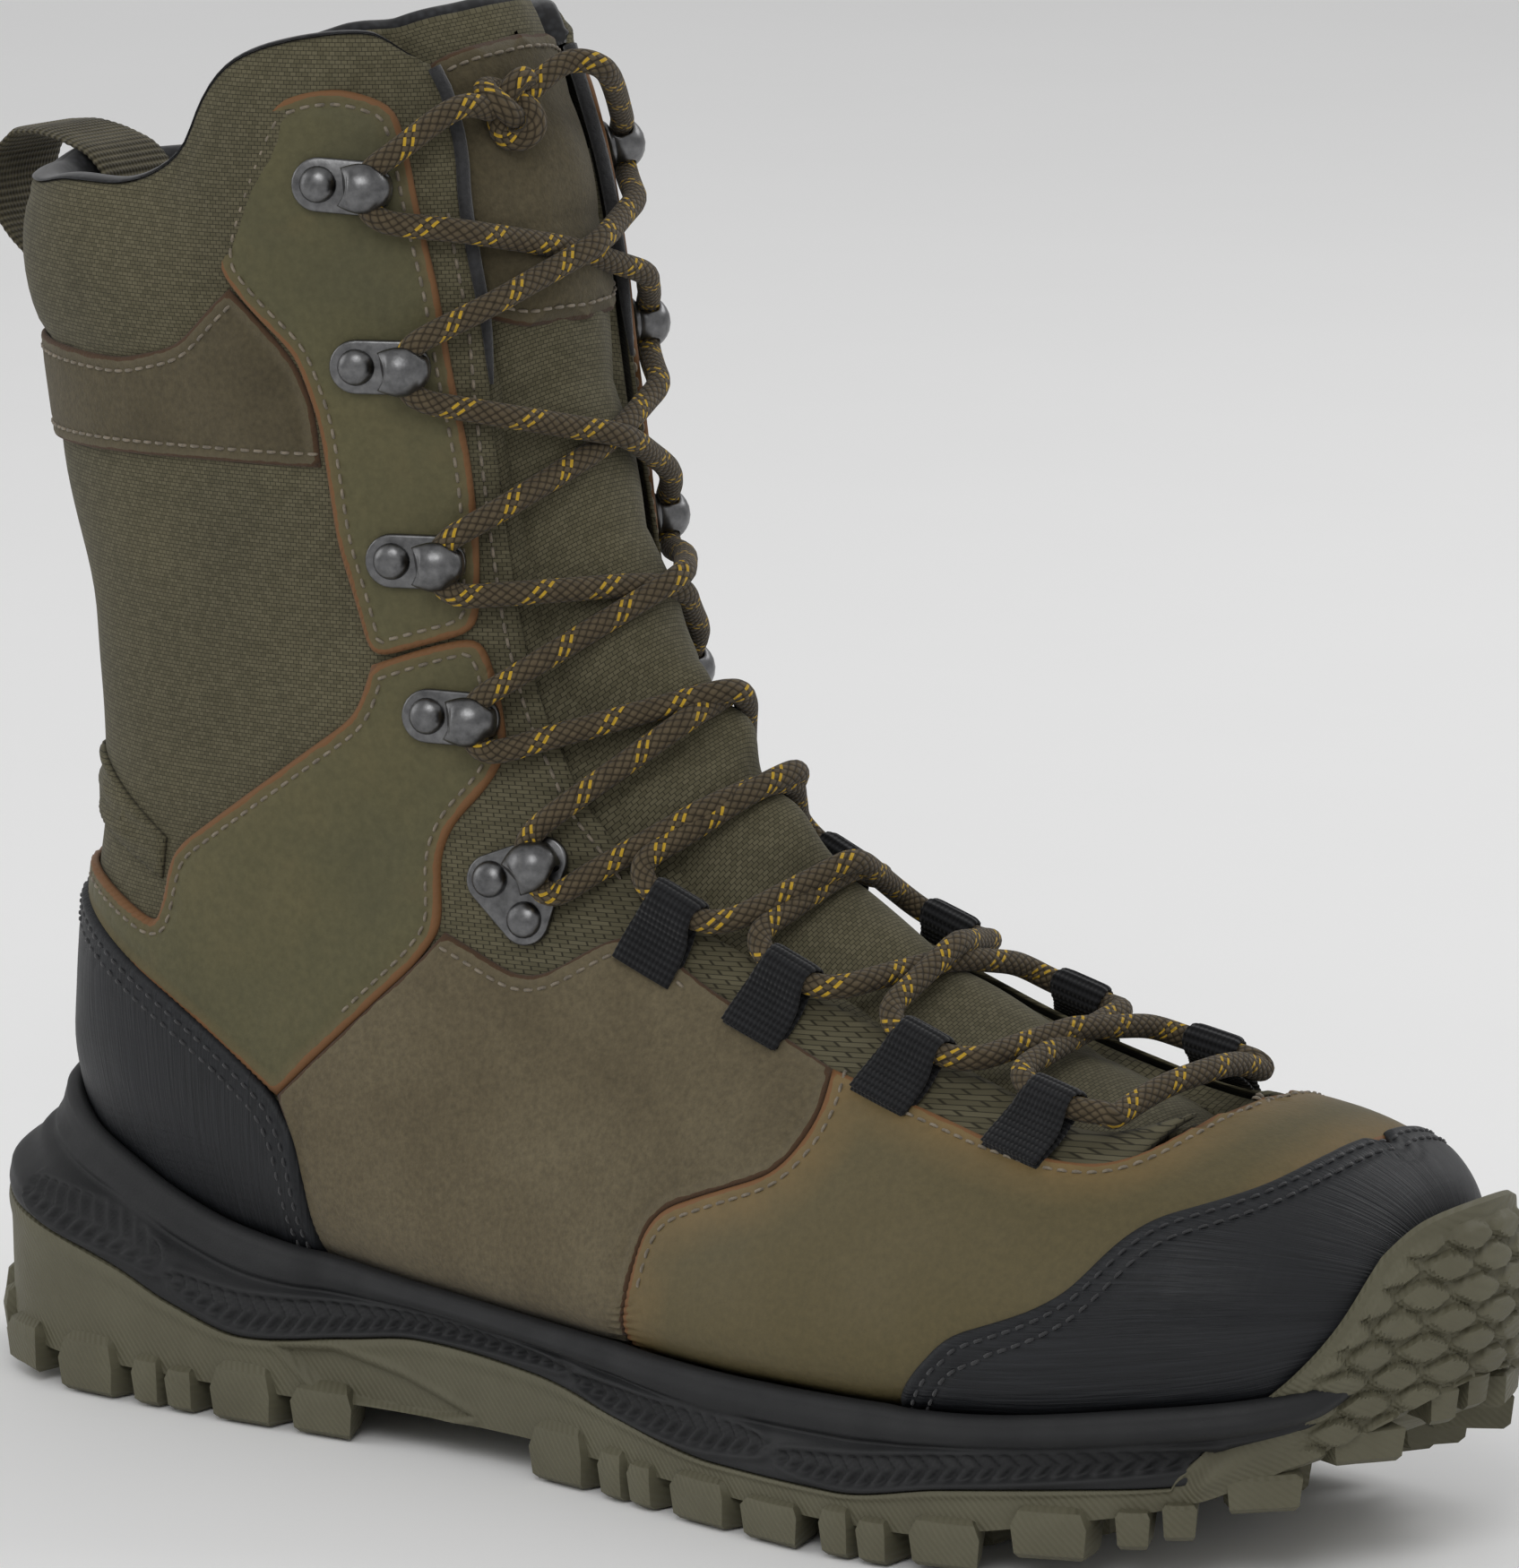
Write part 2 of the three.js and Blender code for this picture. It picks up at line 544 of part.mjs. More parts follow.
function planCutter(inward, from, to) {
  const n = SOLE_PLAN.length;
  const points = SOLE_PLAN.map(([x, y], i) => {
    const [px, py] = SOLE_PLAN[(i + n - 1) % n];
    const [nx, ny] = SOLE_PLAN[(i + 1) % n];
    const out = new THREE.Vector2(ny - py, px - nx).normalize();
    return new THREE.Vector2((x - out.x * inward) * STRETCH.x, (y - out.y * inward) * STRETCH.y);
  });
  const geometry = new THREE.ExtrudeGeometry(new THREE.Shape(points), {
    depth: to - from,
    bevelEnabled: false,
    steps: 1,
  });
  geometry.translate(0, 0, from);
  return solid(geometry);
}

const boardLevel = [LEVEL.base[1] + GAP, LEVEL.base[1] + GAP + BOARD];
const shankLevel = [boardLevel[1] + GAP, boardLevel[1] + GAP + SHANK];
const underFoot = planCutter(19, 5, 31 * STRETCH.z);
addMesh("lasting_board", "board", sock(boardLevel).intersect(underFoot));
const arch = new THREE.BoxGeometry(125, SHANK_WIDTH, 24).translate(138, 0, 18);
arch.scale(STRETCH.x, 1, STRETCH.z);
addMesh("shank", "steel", sock(shankLevel).intersect(solid(arch)));
const felt = sideCutter([...FELT_TOP, [20, 10], [301, 10]]);
const feltBlock = block(LEVEL.lining[0] - 2 * GAP);
const FOOTBED_SPAN = [13, 290]; // heel and toe ends
const [footbedBack, footbedFront] = FOOTBED_SPAN.map((x) => x * STRETCH.x);
const span = new THREE.BoxGeometry(footbedFront - footbedBack, 2 * WIDTH, HEIGHT);
span.translate((footbedBack + footbedFront) / 2, 0, 0);
addMesh("footbed", "foam", feltBlock.intersect(felt).intersect(solid(span)));

// Sole ---------------------------------------------------------------------------------------------

const curveOf = (knots) => smoothCurve(knots.map((k) => k[0]), knots.map((k) => k[1]));
const spring = curveOf(SPRING);
const welt = curveOf(WELT);
const split = curveOf(SPLIT);
const planCurve = new THREE.CatmullRomCurve3(
  SOLE_PLAN.map(([x, y]) => new THREE.Vector3(x, y, 0)),
  true,
  "centripetal",
);
const PLAN_POINTS = 44;
const plan = [];
for (let i = 0; i < PLAN_POINTS; i++) {
  const point = planCurve.getPointAt(i / PLAN_POINTS);
  const tangent = planCurve.getTangentAt(i / PLAN_POINTS);
  plan.push({ point, out: new THREE.Vector3(tangent.y, -tangent.x, 0) });
}

// A stack of outlines, each a height over x and a distance in from the sole's outline.
function lofted(levels) {
  const points = levels.flatMap(({ height, inward }) =>
    plan.map(({ point, out }) => {
      const at = point.clone().addScaledVector(out, -inward);
      return new THREE.Vector3(at.x, at.y, height(at.x)).multiply(STRETCH);
    }),
  );
  const n = PLAN_POINTS;
  const faces = [];
  levels.slice(1).forEach((_, i) => {
    for (let j = 0; j < n; j++) {
      const [a, b] = [i * n + j, i * n + ((j + 1) % n)];
      faces.push(a, b, a + n, b, b + n, a + n);
    }
  });
  const last = (levels.length - 1) * n;
  for (let j = 0; j < n / 2; j++) {
    const rung = [j, j + 1, n - j - 1, (n - j) % n]; // across the sole and back
    const [a, b, c, d] = rung;
    if (b !== c) faces.push(a, c, b, last + a, last + b, last + c);
    if (a !== d) faces.push(a, d, c, last + a, last + c, last + d);
  }
  return manifoldFrom(points, faces);
}

const cavity = block(CAVITY);
const tread = (x) => spring(x) + LUG / STRETCH.z;
const soleTop = (x) => welt(x);
const soleBody = lofted([
  { height: tread, inward: 1.5 },
  { height: (x) => Math.min(split(x), welt(x) - 8), inward: -0.5 },
  { height: soleTop, inward: SOLE_SIDE },
]).subtract(cavity);
const splitLine = [];
for (let x = -20; x < 299; x += 5) splitLine.push([x, split(x)]);
splitLine.push([299, 70]);
const overSplit = sideCutter([...splitLine, [299, 120], [-20, 120]]);
const nearSplit = splitLine.map(([x, z]) => [x + GAP, z - GAP]);
const underSplit = sideCutter([...nearSplit, [340, 90], [340, -10], [-20 + GAP, -10]]);
addMesh("midsole", "rubber", soleBody.intersect(overSplit));

// Lugs stand round the edge and down the middle of the forefoot and heel.
const LUG_HEIGHT = LUG + OUTSOLE / 2;
function lug(x, y, turn, length, width) {
  const block = new THREE.BoxGeometry(length, width, LUG_HEIGHT);
  block.rotateZ(turn);
  block.translate(x * STRETCH.x, y * STRETCH.y, spring(x) * STRETCH.z + LUG_HEIGHT / 2);
  return solid(block);
}
const treadLugs = [];
const LUG_INSET = 7;
const EDGE_LUGS = 32;
for (let i = 0; i < EDGE_LUGS; i++) {
  const share = (i + 0.5) / EDGE_LUGS;
  const point = planCurve.getPointAt(share);
  const tangent = planCurve.getTangentAt(share);
  const inArch = point.x > 100 && point.x < 168;
  if (inArch || point.x > 300) continue;
  const turn = Math.atan2(tangent.y, tangent.x);
  treadLugs.push(
    lug(point.x + tangent.y * -LUG_INSET, point.y + tangent.x * LUG_INSET, turn, LUG_LENGTH, 12),
  );
}
for (const x of [40, 68, 182, 206, 230, 254]) treadLugs.push(lug(x, -1, 0.5, LUG_LENGTH, 16));

// The tread turns up in front of the toe cap as a bumper.
const bumperOutline = [...BUMPER_TOP, [330, 15], [282, 15]];
const bumper = lofted([
  { height: (x) => spring(x) + LUG + 6, inward: 1.5 },
  { height: () => 66, inward: -3.5 },
])
  .intersect(sideCutter(bumperOutline))
  .subtract(cavity)
  .intersect(underSplit);
const solePlate = soleBody.intersect(underSplit).add(bumper);
const lugs = treadLugs.reduce((all, piece) => all.add(piece)).intersect(underSplit);
addMesh("outsole", "tread", solePlate.add(lugs));

// Hooks and rivets ---------------------------------------------------------------------------------

function hookPlate(outline, holes) {
  const shape = new THREE.Shape(outline);
  for (const [x, y] of holes) {
    shape.holes.push(new THREE.Path().absarc(x, y, RIVET_SHANK + GAP, 0, 2 * Math.PI, true));
  }
  return new THREE.ExtrudeGeometry(shape, { depth: HOOK_PLATE, bevelEnabled: false, curveSegments: 4 });
}

// Straight or three-lobed plates are the band round a chain of discs.
const ARC = 3; // steps round a plate's end
function roundPlate(centres, radius) {
  const outline = [];
  centres.forEach(([x, y], i) => {
    const [px, py] = centres[(i + centres.length - 1) % centres.length];
    const [nx, ny] = centres[(i + 1) % centres.length];
    const from = Math.atan2(y - py, x - px) - Math.PI / 2;
    let to = Math.atan2(ny - y, nx - x) - Math.PI / 2;
    if (to < from) to += 2 * Math.PI;
    for (let k = 0; k <= ARC; k++) {
      const angle = from + ((to - from) * k) / ARC;
      outline.push(new THREE.Vector2(x + radius * Math.cos(angle), y + radius * Math.sin(angle)));
    }
  });
  return outline;
}

function lathe(profile, segments) {
  return new THREE.LatheGeometry(
    profile.map(([r, h]) => new THREE.Vector2(r, h)),
    segments,
  ).rotateX(Math.PI / 2);
}

const curlFloor = HOOK_PLATE + HOOK_OPEN;
const CURL = [[0, 0], [4.4, 0.4], [3.2, 2.2], [0, 2.9]]; // radius and height
const curl = lathe(CURL.map(([radius, height]) => [radius, curlFloor + height]), 9);
const neck = new THREE.CylinderGeometry(NECK, NECK, HOOK_OPEN + 1.6, 6)
  .rotateX(Math.PI / 2)
  .translate(0, 0, HOOK_PLATE + HOOK_OPEN / 2);
const CURL_BACK = 2.2; // the curl's middle behind its neck
for (const [name, hook] of Object.entries(hooks)) {
  const [nx, ny] = hook.neck;
  const holes = hook.lock
    ? LOCK_RIVETS.map(([x, y]) => [x, y * hook.updown])
    : [[-RIVET_BACK, 0]];
  const centres = [...holes, [nx, ny]];
  if (centres.length > 2 && hook.updown < 0) centres.reverse();
  const radius = HOOK_WIDTH / 2;
  const outline = roundPlate(centres, radius);
  const parts = [
    hookPlate(outline, holes),
    neck.clone().translate(nx, ny, 0),
    curl.clone().translate(nx - CURL_BACK, ny, 0),
  ];
  const joined = parts.map((g) => placed(g, hook.frame)).reduce((all, piece) => all.add(piece));
  addMesh(name, "steel", joined);
}

// Each rivet's head sits on its plate, and its clench behind the shell.
const CLENCH = 0.6;
const CLENCH_DEPTH = 1.2; // behind the shell, which is flatter than its curve
const clenchTop = LEVEL.base[0] - CLENCH_DEPTH - hookSeat;
const headFloor = HOOK_PLATE + GAP;
const rivet = lathe(
  [
    [0, clenchTop - CLENCH],
    [CLENCH_RADIUS, clenchTop - CLENCH],
    [CLENCH_RADIUS, clenchTop],
    [RIVET_SHANK, clenchTop],
    [RIVET_SHANK, headFloor],
    [RIVET_HEAD, headFloor],
    [RIVET_HEAD * 0.7, headFloor + 1.4],
    [0, headFloor + 1.9],
  ],
  8,
);
for (const [name, frames] of Object.entries(rivets)) {
  frames.forEach((frame, i) => {
    const suffix = frames.length > 1 ? `_${i + 1}` : "";
    addMesh(`rivet_${name}${suffix}`, "steel", placed(rivet, frame));
  });
}

// Webbing loops: folded round the lace, their tails on the leather.
const LOOP_BORE = LACE / 2 + 5.5 * GAP;
const LOOP_LIFT = 0.9; // over the hollow of the instep
const LOOP_TAIL = 8;
const loopOuter = LOOP_BORE + WEBBING;
const loopRing = new THREE.Shape().absarc(0, loopOuter, loopOuter, 0, 2 * Math.PI, false);
loopRing.holes.push(new THREE.Path().absarc(0, loopOuter, LOOP_BORE, 0, 2 * Math.PI, true));
const LOOP_RUN = new THREE.Vector3(0.94, 0, -0.34); // along the facing's edge
const loops = {};
for (const side of SIDES) {
  LOOPS.forEach(([x, z], i) => {
    const { v, phi } = placeOf(x, z, side);
    const normal = surfaceNormal(v, phi);
    const edge = LOOP_RUN.clone();
    edge.addScaledVector(normal, -edge.dot(normal)).normalize();
    if (side === INNER) edge.negate();
    const inward = new THREE.Vector3().crossVectors(normal, edge);
    const frame = new THREE.Matrix4().makeBasis(inward, normal, edge);
    frame.setPosition(skin(v, phi, hookSeat + LOOP_LIFT));
    const extrusion = { depth: LOOP_WIDTH, bevelEnabled: false, curveSegments: 5 };
    const ring = new THREE.ExtrudeGeometry(loopRing, extrusion);
    ring.translate(0, 0, -LOOP_WIDTH / 2);
    const tail = new THREE.BoxGeometry(LOOP_TAIL, 2 * WEBBING, LOOP_WIDTH);
    tail.translate(-LOOP_TAIL / 2 - 1.2, WEBBING, 0);
    addMesh(`lace_loop_${i + 1}_${side}`, "webbing", placed(ring, frame).add(placed(tail, frame)));
    loops[`${i + 1}_${side}`] = { v, phi, frame };
  });
}

// Lace ---------------------------------------------------------------------------------------------

// It passes behind each hook's neck, or through a loop, from its lower to its upper side.
function throughHook(name) {
  const { frame, neck: [nx, ny], updown } = hooks[name];
  const clear = NECK + LACE / 2 + 3 * GAP;
  const height = HOOK_PLATE + 1.5 * GAP + LACE / 2;
  const corner = clear * 0.75;
  const path = [[1.5, -clear - 0.6], [-corner, -corner], [-clear, 0], [-corner, corner], [1.5, clear + 0.6]];
  return path.map(([x, y]) =>
    new THREE.Vector3(nx + x, ny + y * updown, height).applyMatrix4(frame),
  );
}

function throughLoop(key) {
  const side = key.endsWith(OUTER) ? -1 : 1; // the loop's long axis points to the toe or the heel
  const [end, turn] = [LOOP_WIDTH / 2 + 0.5, LOOP_WIDTH / 2 + 3.5];
  return [[2.2, -turn], [0, -end], [0, end], [2.2, turn]].map(([x, z]) =>
    new THREE.Vector3(x, LOOP_BORE + WEBBING, side * z).applyMatrix4(loops[key].frame),
  );
}

// A strand over the tongue between two places, low or high where strands cross.
const STRAND_LOW = 1.3;
const STRAND_HIGH = STRAND_LOW + LACE + 2 * GAP;
const STRAND_SIDE = 4.4;
function strand(from, to, middle) {
  return [0.24, 0.5, 0.76].map((t) => {
    const out = t === 0.5 ? middle : STRAND_SIDE;
    return skin(from.v + (to.v - from.v) * t, from.phi + (to.phi - from.phi) * t, out);
  });
}

const LACING = [...LOOPS.map((p, i) => ["loop", i + 1, p]).reverse(), ["lock", 0, LOCK_HOOK],
  ...HOOKS.map((p, i) => ["hook", i + 1, p]).reverse()];
function station(step, side) {
  const [kind, number, [x, z]] = LACING[step];
  const place = placeOf(x, z, side);
  if (kind === "loop") return { ...place, path: throughLoop(`${number}_${side}`) };
  return { ...place, path: throughHook(kind === "lock" ? `lock_hook_${side}` : `hook_${number}_${side}`) };
}

// One half of the lace climbs from the lowest loop of a side and changes sides at each step.
function half(start) {
  const other = start === OUTER ? INNER : OUTER;
  const points = [];
  LACING.forEach((_, step) => {
    const here = station(step, step % 2 ? other : start);
    points.push(...here.path);
    if (step === LACING.length - 1) return;
    const next = station(step + 1, step % 2 ? start : other);
    points.push(...strand(here, next, start === OUTER ? STRAND_LOW : STRAND_HIGH));
  });
  return points;
}

const KNOT_PLACE = [117, 242];
const knotSpot = placeOf(...KNOT_PLACE, OUTER);
const knotCentre = skin(knotSpot.v, 0, STRAND_HIGH + 1);
const KNOT = [7, 6.5, 5]; // half sizes across, up and out
const knotEnd = (side) => knotCentre.clone().add(new THREE.Vector3(-1, side * (KNOT[0] + GAP), 0));
const [outerHalf, innerHalf] = [half(OUTER), half(INNER)];
const barMiddle = skin(placeOf(252, 75, OUTER).v, 0, 3.4); // the lace's crossing at the foot of the lacing
const bar = [-12, 0, 12].map((y) => barMiddle.clone().add(new THREE.Vector3(y ? -2 : 2, y, 0)));
const topOuter = LACING.length % 2 ? -1 : 1;
const route = [knotEnd(topOuter), ...outerHalf.reverse(), ...bar, ...innerHalf, knotEnd(-topOuter)];
const laceCurve = new THREE.CatmullRomCurve3(route, false, "centripetal");
const laceSection = new THREE.Shape();
const LACE_SIDES = 8;
const LACE_STEP = 9; // along the lace
for (let i = 0; i < LACE_SIDES; i++) {
  const angle = (2 * Math.PI * i) / LACE_SIDES;
  const [x, y] = [(LACE / 2) * Math.cos(angle), (LACE / 2) * Math.sin(angle)];
  if (i) laceSection.lineTo(x, y);
  else laceSection.moveTo(x, y);
}
const laceSteps = Math.round(laceCurve.getLength() / LACE_STEP);
addMesh(
  "lace",
  "lace",
  solid(new THREE.ExtrudeGeometry(laceSection, { steps: laceSteps, extrudePath: laceCurve })),
);
const knot = new THREE.SphereGeometry(1, 12, 8).scale(KNOT[2], KNOT[0], KNOT[1]).translate(...knotCentre);
addMesh("lace_knot", "lace", solid(knot));

// Pull loop ----------------------------------------------------------------------------------------

const PULL_THICK = 1.6;
function strap(points, name) {
  const curve = new THREE.CatmullRomCurve3(
    points.map(([x, z]) => new THREE.Vector3(x, 0, z).multiply(STRETCH)),
  );
  const steps = Math.max(2, Math.round(curve.getLength() / 4));
  const outline = [];
  for (let k = 0; k <= steps; k++) {
    const at = curve.getPointAt(k / steps);
    const tangent = curve.getTangentAt(k / steps);
    outline.push({ at, out: new THREE.Vector2(-tangent.z, tangent.x).multiplyScalar(PULL_THICK / 2) });
  }
  const shape = new THREE.Shape([
    ...outline.map(({ at, out }) => new THREE.Vector2(at.x + out.x, at.z + out.y)),
    ...outline.reverse().map(({ at, out }) => new THREE.Vector2(at.x - out.x, at.z - out.y)),
  ]);
  const geometry = new THREE.ExtrudeGeometry(shape, { depth: PULL_WIDTH, bevelEnabled: false });
  geometry.rotateX(Math.PI / 2).translate(0, PULL_WIDTH / 2, 0);
  addMesh(name, "khaki", solid(geometry));
}
const pullInside = 10 - LEVEL.lining[0] + 2 * GAP + PULL_THICK / 2;
const pullOutside = 6.2 - LEVEL.overlay[1] - GAP - PULL_THICK / 2;
const PULL_BOW = [[pullInside, 221.5], [pullInside - 2, 227], [9, 231], [0, 230.5], [-7, 225.5],
  [-8.3, 217.5], [-5.5, 212]];
const PULL_INSIDE_TOP = 216.5; // clear of the bow when it swings in
strap(PULL_BOW, "pull_loop");
strap([[pullInside + 0.5, 205], [pullInside, PULL_INSIDE_TOP]], "pull_loop_inner_end");
strap([[-2.4, 208.2], [1, 206], [pullOutside, 200], [pullOutside + 0.4, 194]], "pull_loop_outer_end");

// The middle of the bounding box goes over the origin, its lowest point on the floor.
const bounds = new THREE.Box3().setFromObject(boot);
boot.children.forEach((mesh) =>
  mesh.geometry.translate(
    -(bounds.min.x + bounds.max.x) / 2,
    -(bounds.min.y + bounds.max.y) / 2,
    -bounds.min.z,
  ),
);

export default boot;
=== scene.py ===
# An insulated lace-up hunting boot for the right foot: cloth and leather upper, hooked lacing, rubber
# caps and a lugged sole. Outlines are drawn in millimetres from the back of the heel, then set down over
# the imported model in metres: +X to the toe, +Y to the inner side, +Z up.
import math

import bpy
import numpy as np
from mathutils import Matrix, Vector
from mathutils.bvhtree import BVHTree
from mathutils.geometry import delaunay_2d_cdt


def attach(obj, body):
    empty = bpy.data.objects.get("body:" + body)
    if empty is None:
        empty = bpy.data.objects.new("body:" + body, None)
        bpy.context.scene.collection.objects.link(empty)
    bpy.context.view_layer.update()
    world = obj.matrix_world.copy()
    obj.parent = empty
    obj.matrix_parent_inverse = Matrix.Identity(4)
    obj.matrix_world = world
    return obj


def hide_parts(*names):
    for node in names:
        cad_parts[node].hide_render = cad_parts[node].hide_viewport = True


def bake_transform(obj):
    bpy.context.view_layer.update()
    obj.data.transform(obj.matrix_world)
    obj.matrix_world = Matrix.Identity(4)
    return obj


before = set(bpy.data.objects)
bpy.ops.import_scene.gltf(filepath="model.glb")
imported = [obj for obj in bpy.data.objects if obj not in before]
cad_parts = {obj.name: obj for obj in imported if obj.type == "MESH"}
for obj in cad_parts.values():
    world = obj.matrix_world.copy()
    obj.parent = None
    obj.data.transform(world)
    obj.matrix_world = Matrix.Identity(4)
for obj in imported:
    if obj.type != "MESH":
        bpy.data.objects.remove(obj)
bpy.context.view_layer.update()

# Camera, floor and light: a long lens from the outer side and a little in front of the boot, a pale
# floor, a broad key light over the toe side, a fill from behind the heel and an even pale surround.
DRAWN_TO_ROW = np.array([-0.151664, 0.002772, 0.0])


def row(points):
    return np.asarray(points, float) / 1000 + DRAWN_TO_ROW


VIEW_FROM = [1256.40, -1505.98, 484.03]
VIEW_AT = [160.13, 2.91, 121.49]
lens = bpy.data.cameras.new("view")
lens.lens = 250.2
lens.sensor_width = 36
lens.sensor_fit = "HORIZONTAL"
lens.shift_x = -0.0015
lens.clip_end = 20
view = bpy.data.objects.new("view", lens)
bpy.context.scene.collection.objects.link(view)
view.location = row(VIEW_FROM)
aim = Vector(row(VIEW_AT)) - view.location
view.rotation_euler = aim.to_track_quat("-Z", "Y").to_euler()
bpy.context.scene.camera = view


def area_light(name, place, target, size, power):
    lamp = bpy.data.lights.new(name, "AREA")
    lamp.shape = "DISK"
    lamp.size = size
    lamp.energy = power
    holder = bpy.data.objects.new(name, lamp)
    bpy.context.scene.collection.objects.link(holder)
    holder.location = place
    holder.rotation_euler = (Vector(target) - Vector(place)).to_track_quat("-Z", "Y").to_euler()


area_light("key", (0.7, -1.5, 1.5), (0, 0, 0.1), 1.1, 11.5)
area_light("fill", (-1.6, -1.1, 0.9), (0, 0, 0.12), 1.4, 6)
area_light("rim", (0.5, 1.5, 1.3), (0, 0, 0.15), 1.0, 8)
surround = bpy.data.worlds.new("surround")
surround.use_nodes = True
surround.node_tree.nodes["Background"].inputs["Color"].default_value = (1, 1, 1, 1)
surround.node_tree.nodes["Background"].inputs["Strength"].default_value = 0.55
bpy.context.scene.world = surround
bpy.context.scene.view_settings.view_transform = "Standard"


class Finish:
    """A material and its shader, with short ways to add the nodes that the finishes share."""

    def __init__(self, name, color, roughness, **shader):
        self.material = bpy.data.materials.new(name)
        self.material.use_nodes = True
        self.tree = self.material.node_tree
        self.shader = self.tree.nodes["Principled BSDF"]
        self.shader.inputs["Base Color"].default_value = (*color, 1)
        self.shader.inputs["Roughness"].default_value = roughness
        for socket, value in shader.items():
            self.shader.inputs[socket.replace("_", " ")].default_value = value
        self.place = self.node("ShaderNodeTexCoord").outputs["Object"]

    def node(self, kind, **values):
        made = self.tree.nodes.new(kind)
        for key, value in values.items():
            if key in made.inputs:
                made.inputs[key].default_value = value
            else:
                setattr(made, key, value)
        return made

    def join(self, source, target):
        self.tree.links.new(source, target)
        return target

    def noise(self, scale, detail=4.0, vector=None, roughness=0.6):
        made = self.node("ShaderNodeTexNoise", Scale=scale, Detail=detail, Roughness=roughness)
        self.join(vector or self.place, made.inputs["Vector"])
        return made.outputs["Fac"]

    def lay(self, name="lay"):
        return self.node("ShaderNodeAttribute", attribute_name=name).outputs["Vector"]

    def part(self, vector, axis):
        made = self.node("ShaderNodeSeparateXYZ")
        self.join(vector, made.inputs[0])
        return made.outputs[axis]

    def math(self, operation, a, b=0.0, c=0.0):
        made = self.node("ShaderNodeMath", operation=operation)
        for socket, value in zip(made.inputs, (a, b, c)):
            if isinstance(value, (int, float)):
                socket.default_value = value
            else:
                self.join(value, socket)
        return made.outputs[0]

    def ramp(self, value, *stops):
        made = self.node("ShaderNodeValToRGB")
        self.join(value, made.inputs[0])
        bar = made.color_ramp.elements
        while len(bar) < len(stops):
            bar.new(0.5)
        for element, (at, color) in zip(bar, stops):
            element.position = at
            element.color = (*color, 1) if len(color) == 3 else color
        return made.outputs["Color"]

    def mix(self, share, a, b, kind="MIX"):
        made = self.node("ShaderNodeMix", data_type="RGBA", blend_type=kind)
        sockets = [made.inputs["Factor"], made.inputs[6], made.inputs[7]]
        for socket, value in zip(sockets, (share, a, b)):
            if isinstance(value, (int, float)):
                socket.default_value = value
            elif isinstance(value, tuple):
                socket.default_value = (*value, 1)
            else:
                self.join(value, socket)
        return made.outputs[2]

    def colored(self, source):
        self.join(source, self.shader.inputs["Base Color"])

    def rough(self, source, low, high):
        made = self.node("ShaderNodeMapRange", **{"To Min": low, "To Max": high})
        self.join(source, made.inputs["Value"])
        self.join(made.outputs[0], self.shader.inputs["Roughness"])

    def bumps(self, *layers):
        normal = None
        for height, distance, strength in layers:
            made = self.node("ShaderNodeBump", Strength=strength, Distance=distance)
            self.join(height, made.inputs["Height"])
            if normal:
                self.join(normal, made.inputs["Normal"])
            normal = made.outputs["Normal"]
        self.join(normal, self.shader.inputs["Normal"])


def make(name, points, faces, finish, slot, body="boot", replaces=(), smooth=True, **marks):
    """A mesh piece from drawn millimetres, riding on a body if one is named. marks are kept at its points."""
    mesh = bpy.data.meshes.new(name)
    mesh.from_pydata([tuple(p) for p in row(points)], [], [tuple(map(int, f)) for f in faces])
    mesh.validate()
    mesh.polygons.foreach_set("use_smooth", [smooth] * len(mesh.polygons))
    mesh.materials.append(finish.material)
    for key, values in marks.items():
        kept = np.zeros((len(mesh.vertices), 3), np.float32)
        kept[: len(values)] = values
        mesh.attributes.new(key, "FLOAT_VECTOR", "POINT").data.foreach_set("vector", kept.ravel())
    piece = bpy.data.objects.new(name, mesh)
    bpy.context.scene.collection.objects.link(piece)
    if body:
        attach(piece, body)
    if replaces:
        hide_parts(*replaces)
    return piece


floor_mesh = bpy.data.meshes.new("floor")
floor_mesh.from_pydata([(-6, -6, 0), (6, -6, 0), (6, 6, 0), (-6, 6, 0)], [], [(0, 1, 2, 3)])
floor = bpy.data.objects.new("floor", floor_mesh)
floor.location.z = -0.0005
bpy.context.scene.collection.objects.link(floor)
paper = Finish("pale floor", (0.92, 0.92, 0.92), 0.9)
paper.colored(paper.ramp(paper.noise(3.0), (0.3, (0.91, 0.91, 0.91)), (0.7, (0.93, 0.93, 0.93))))
floor_mesh.materials.append(paper.material)

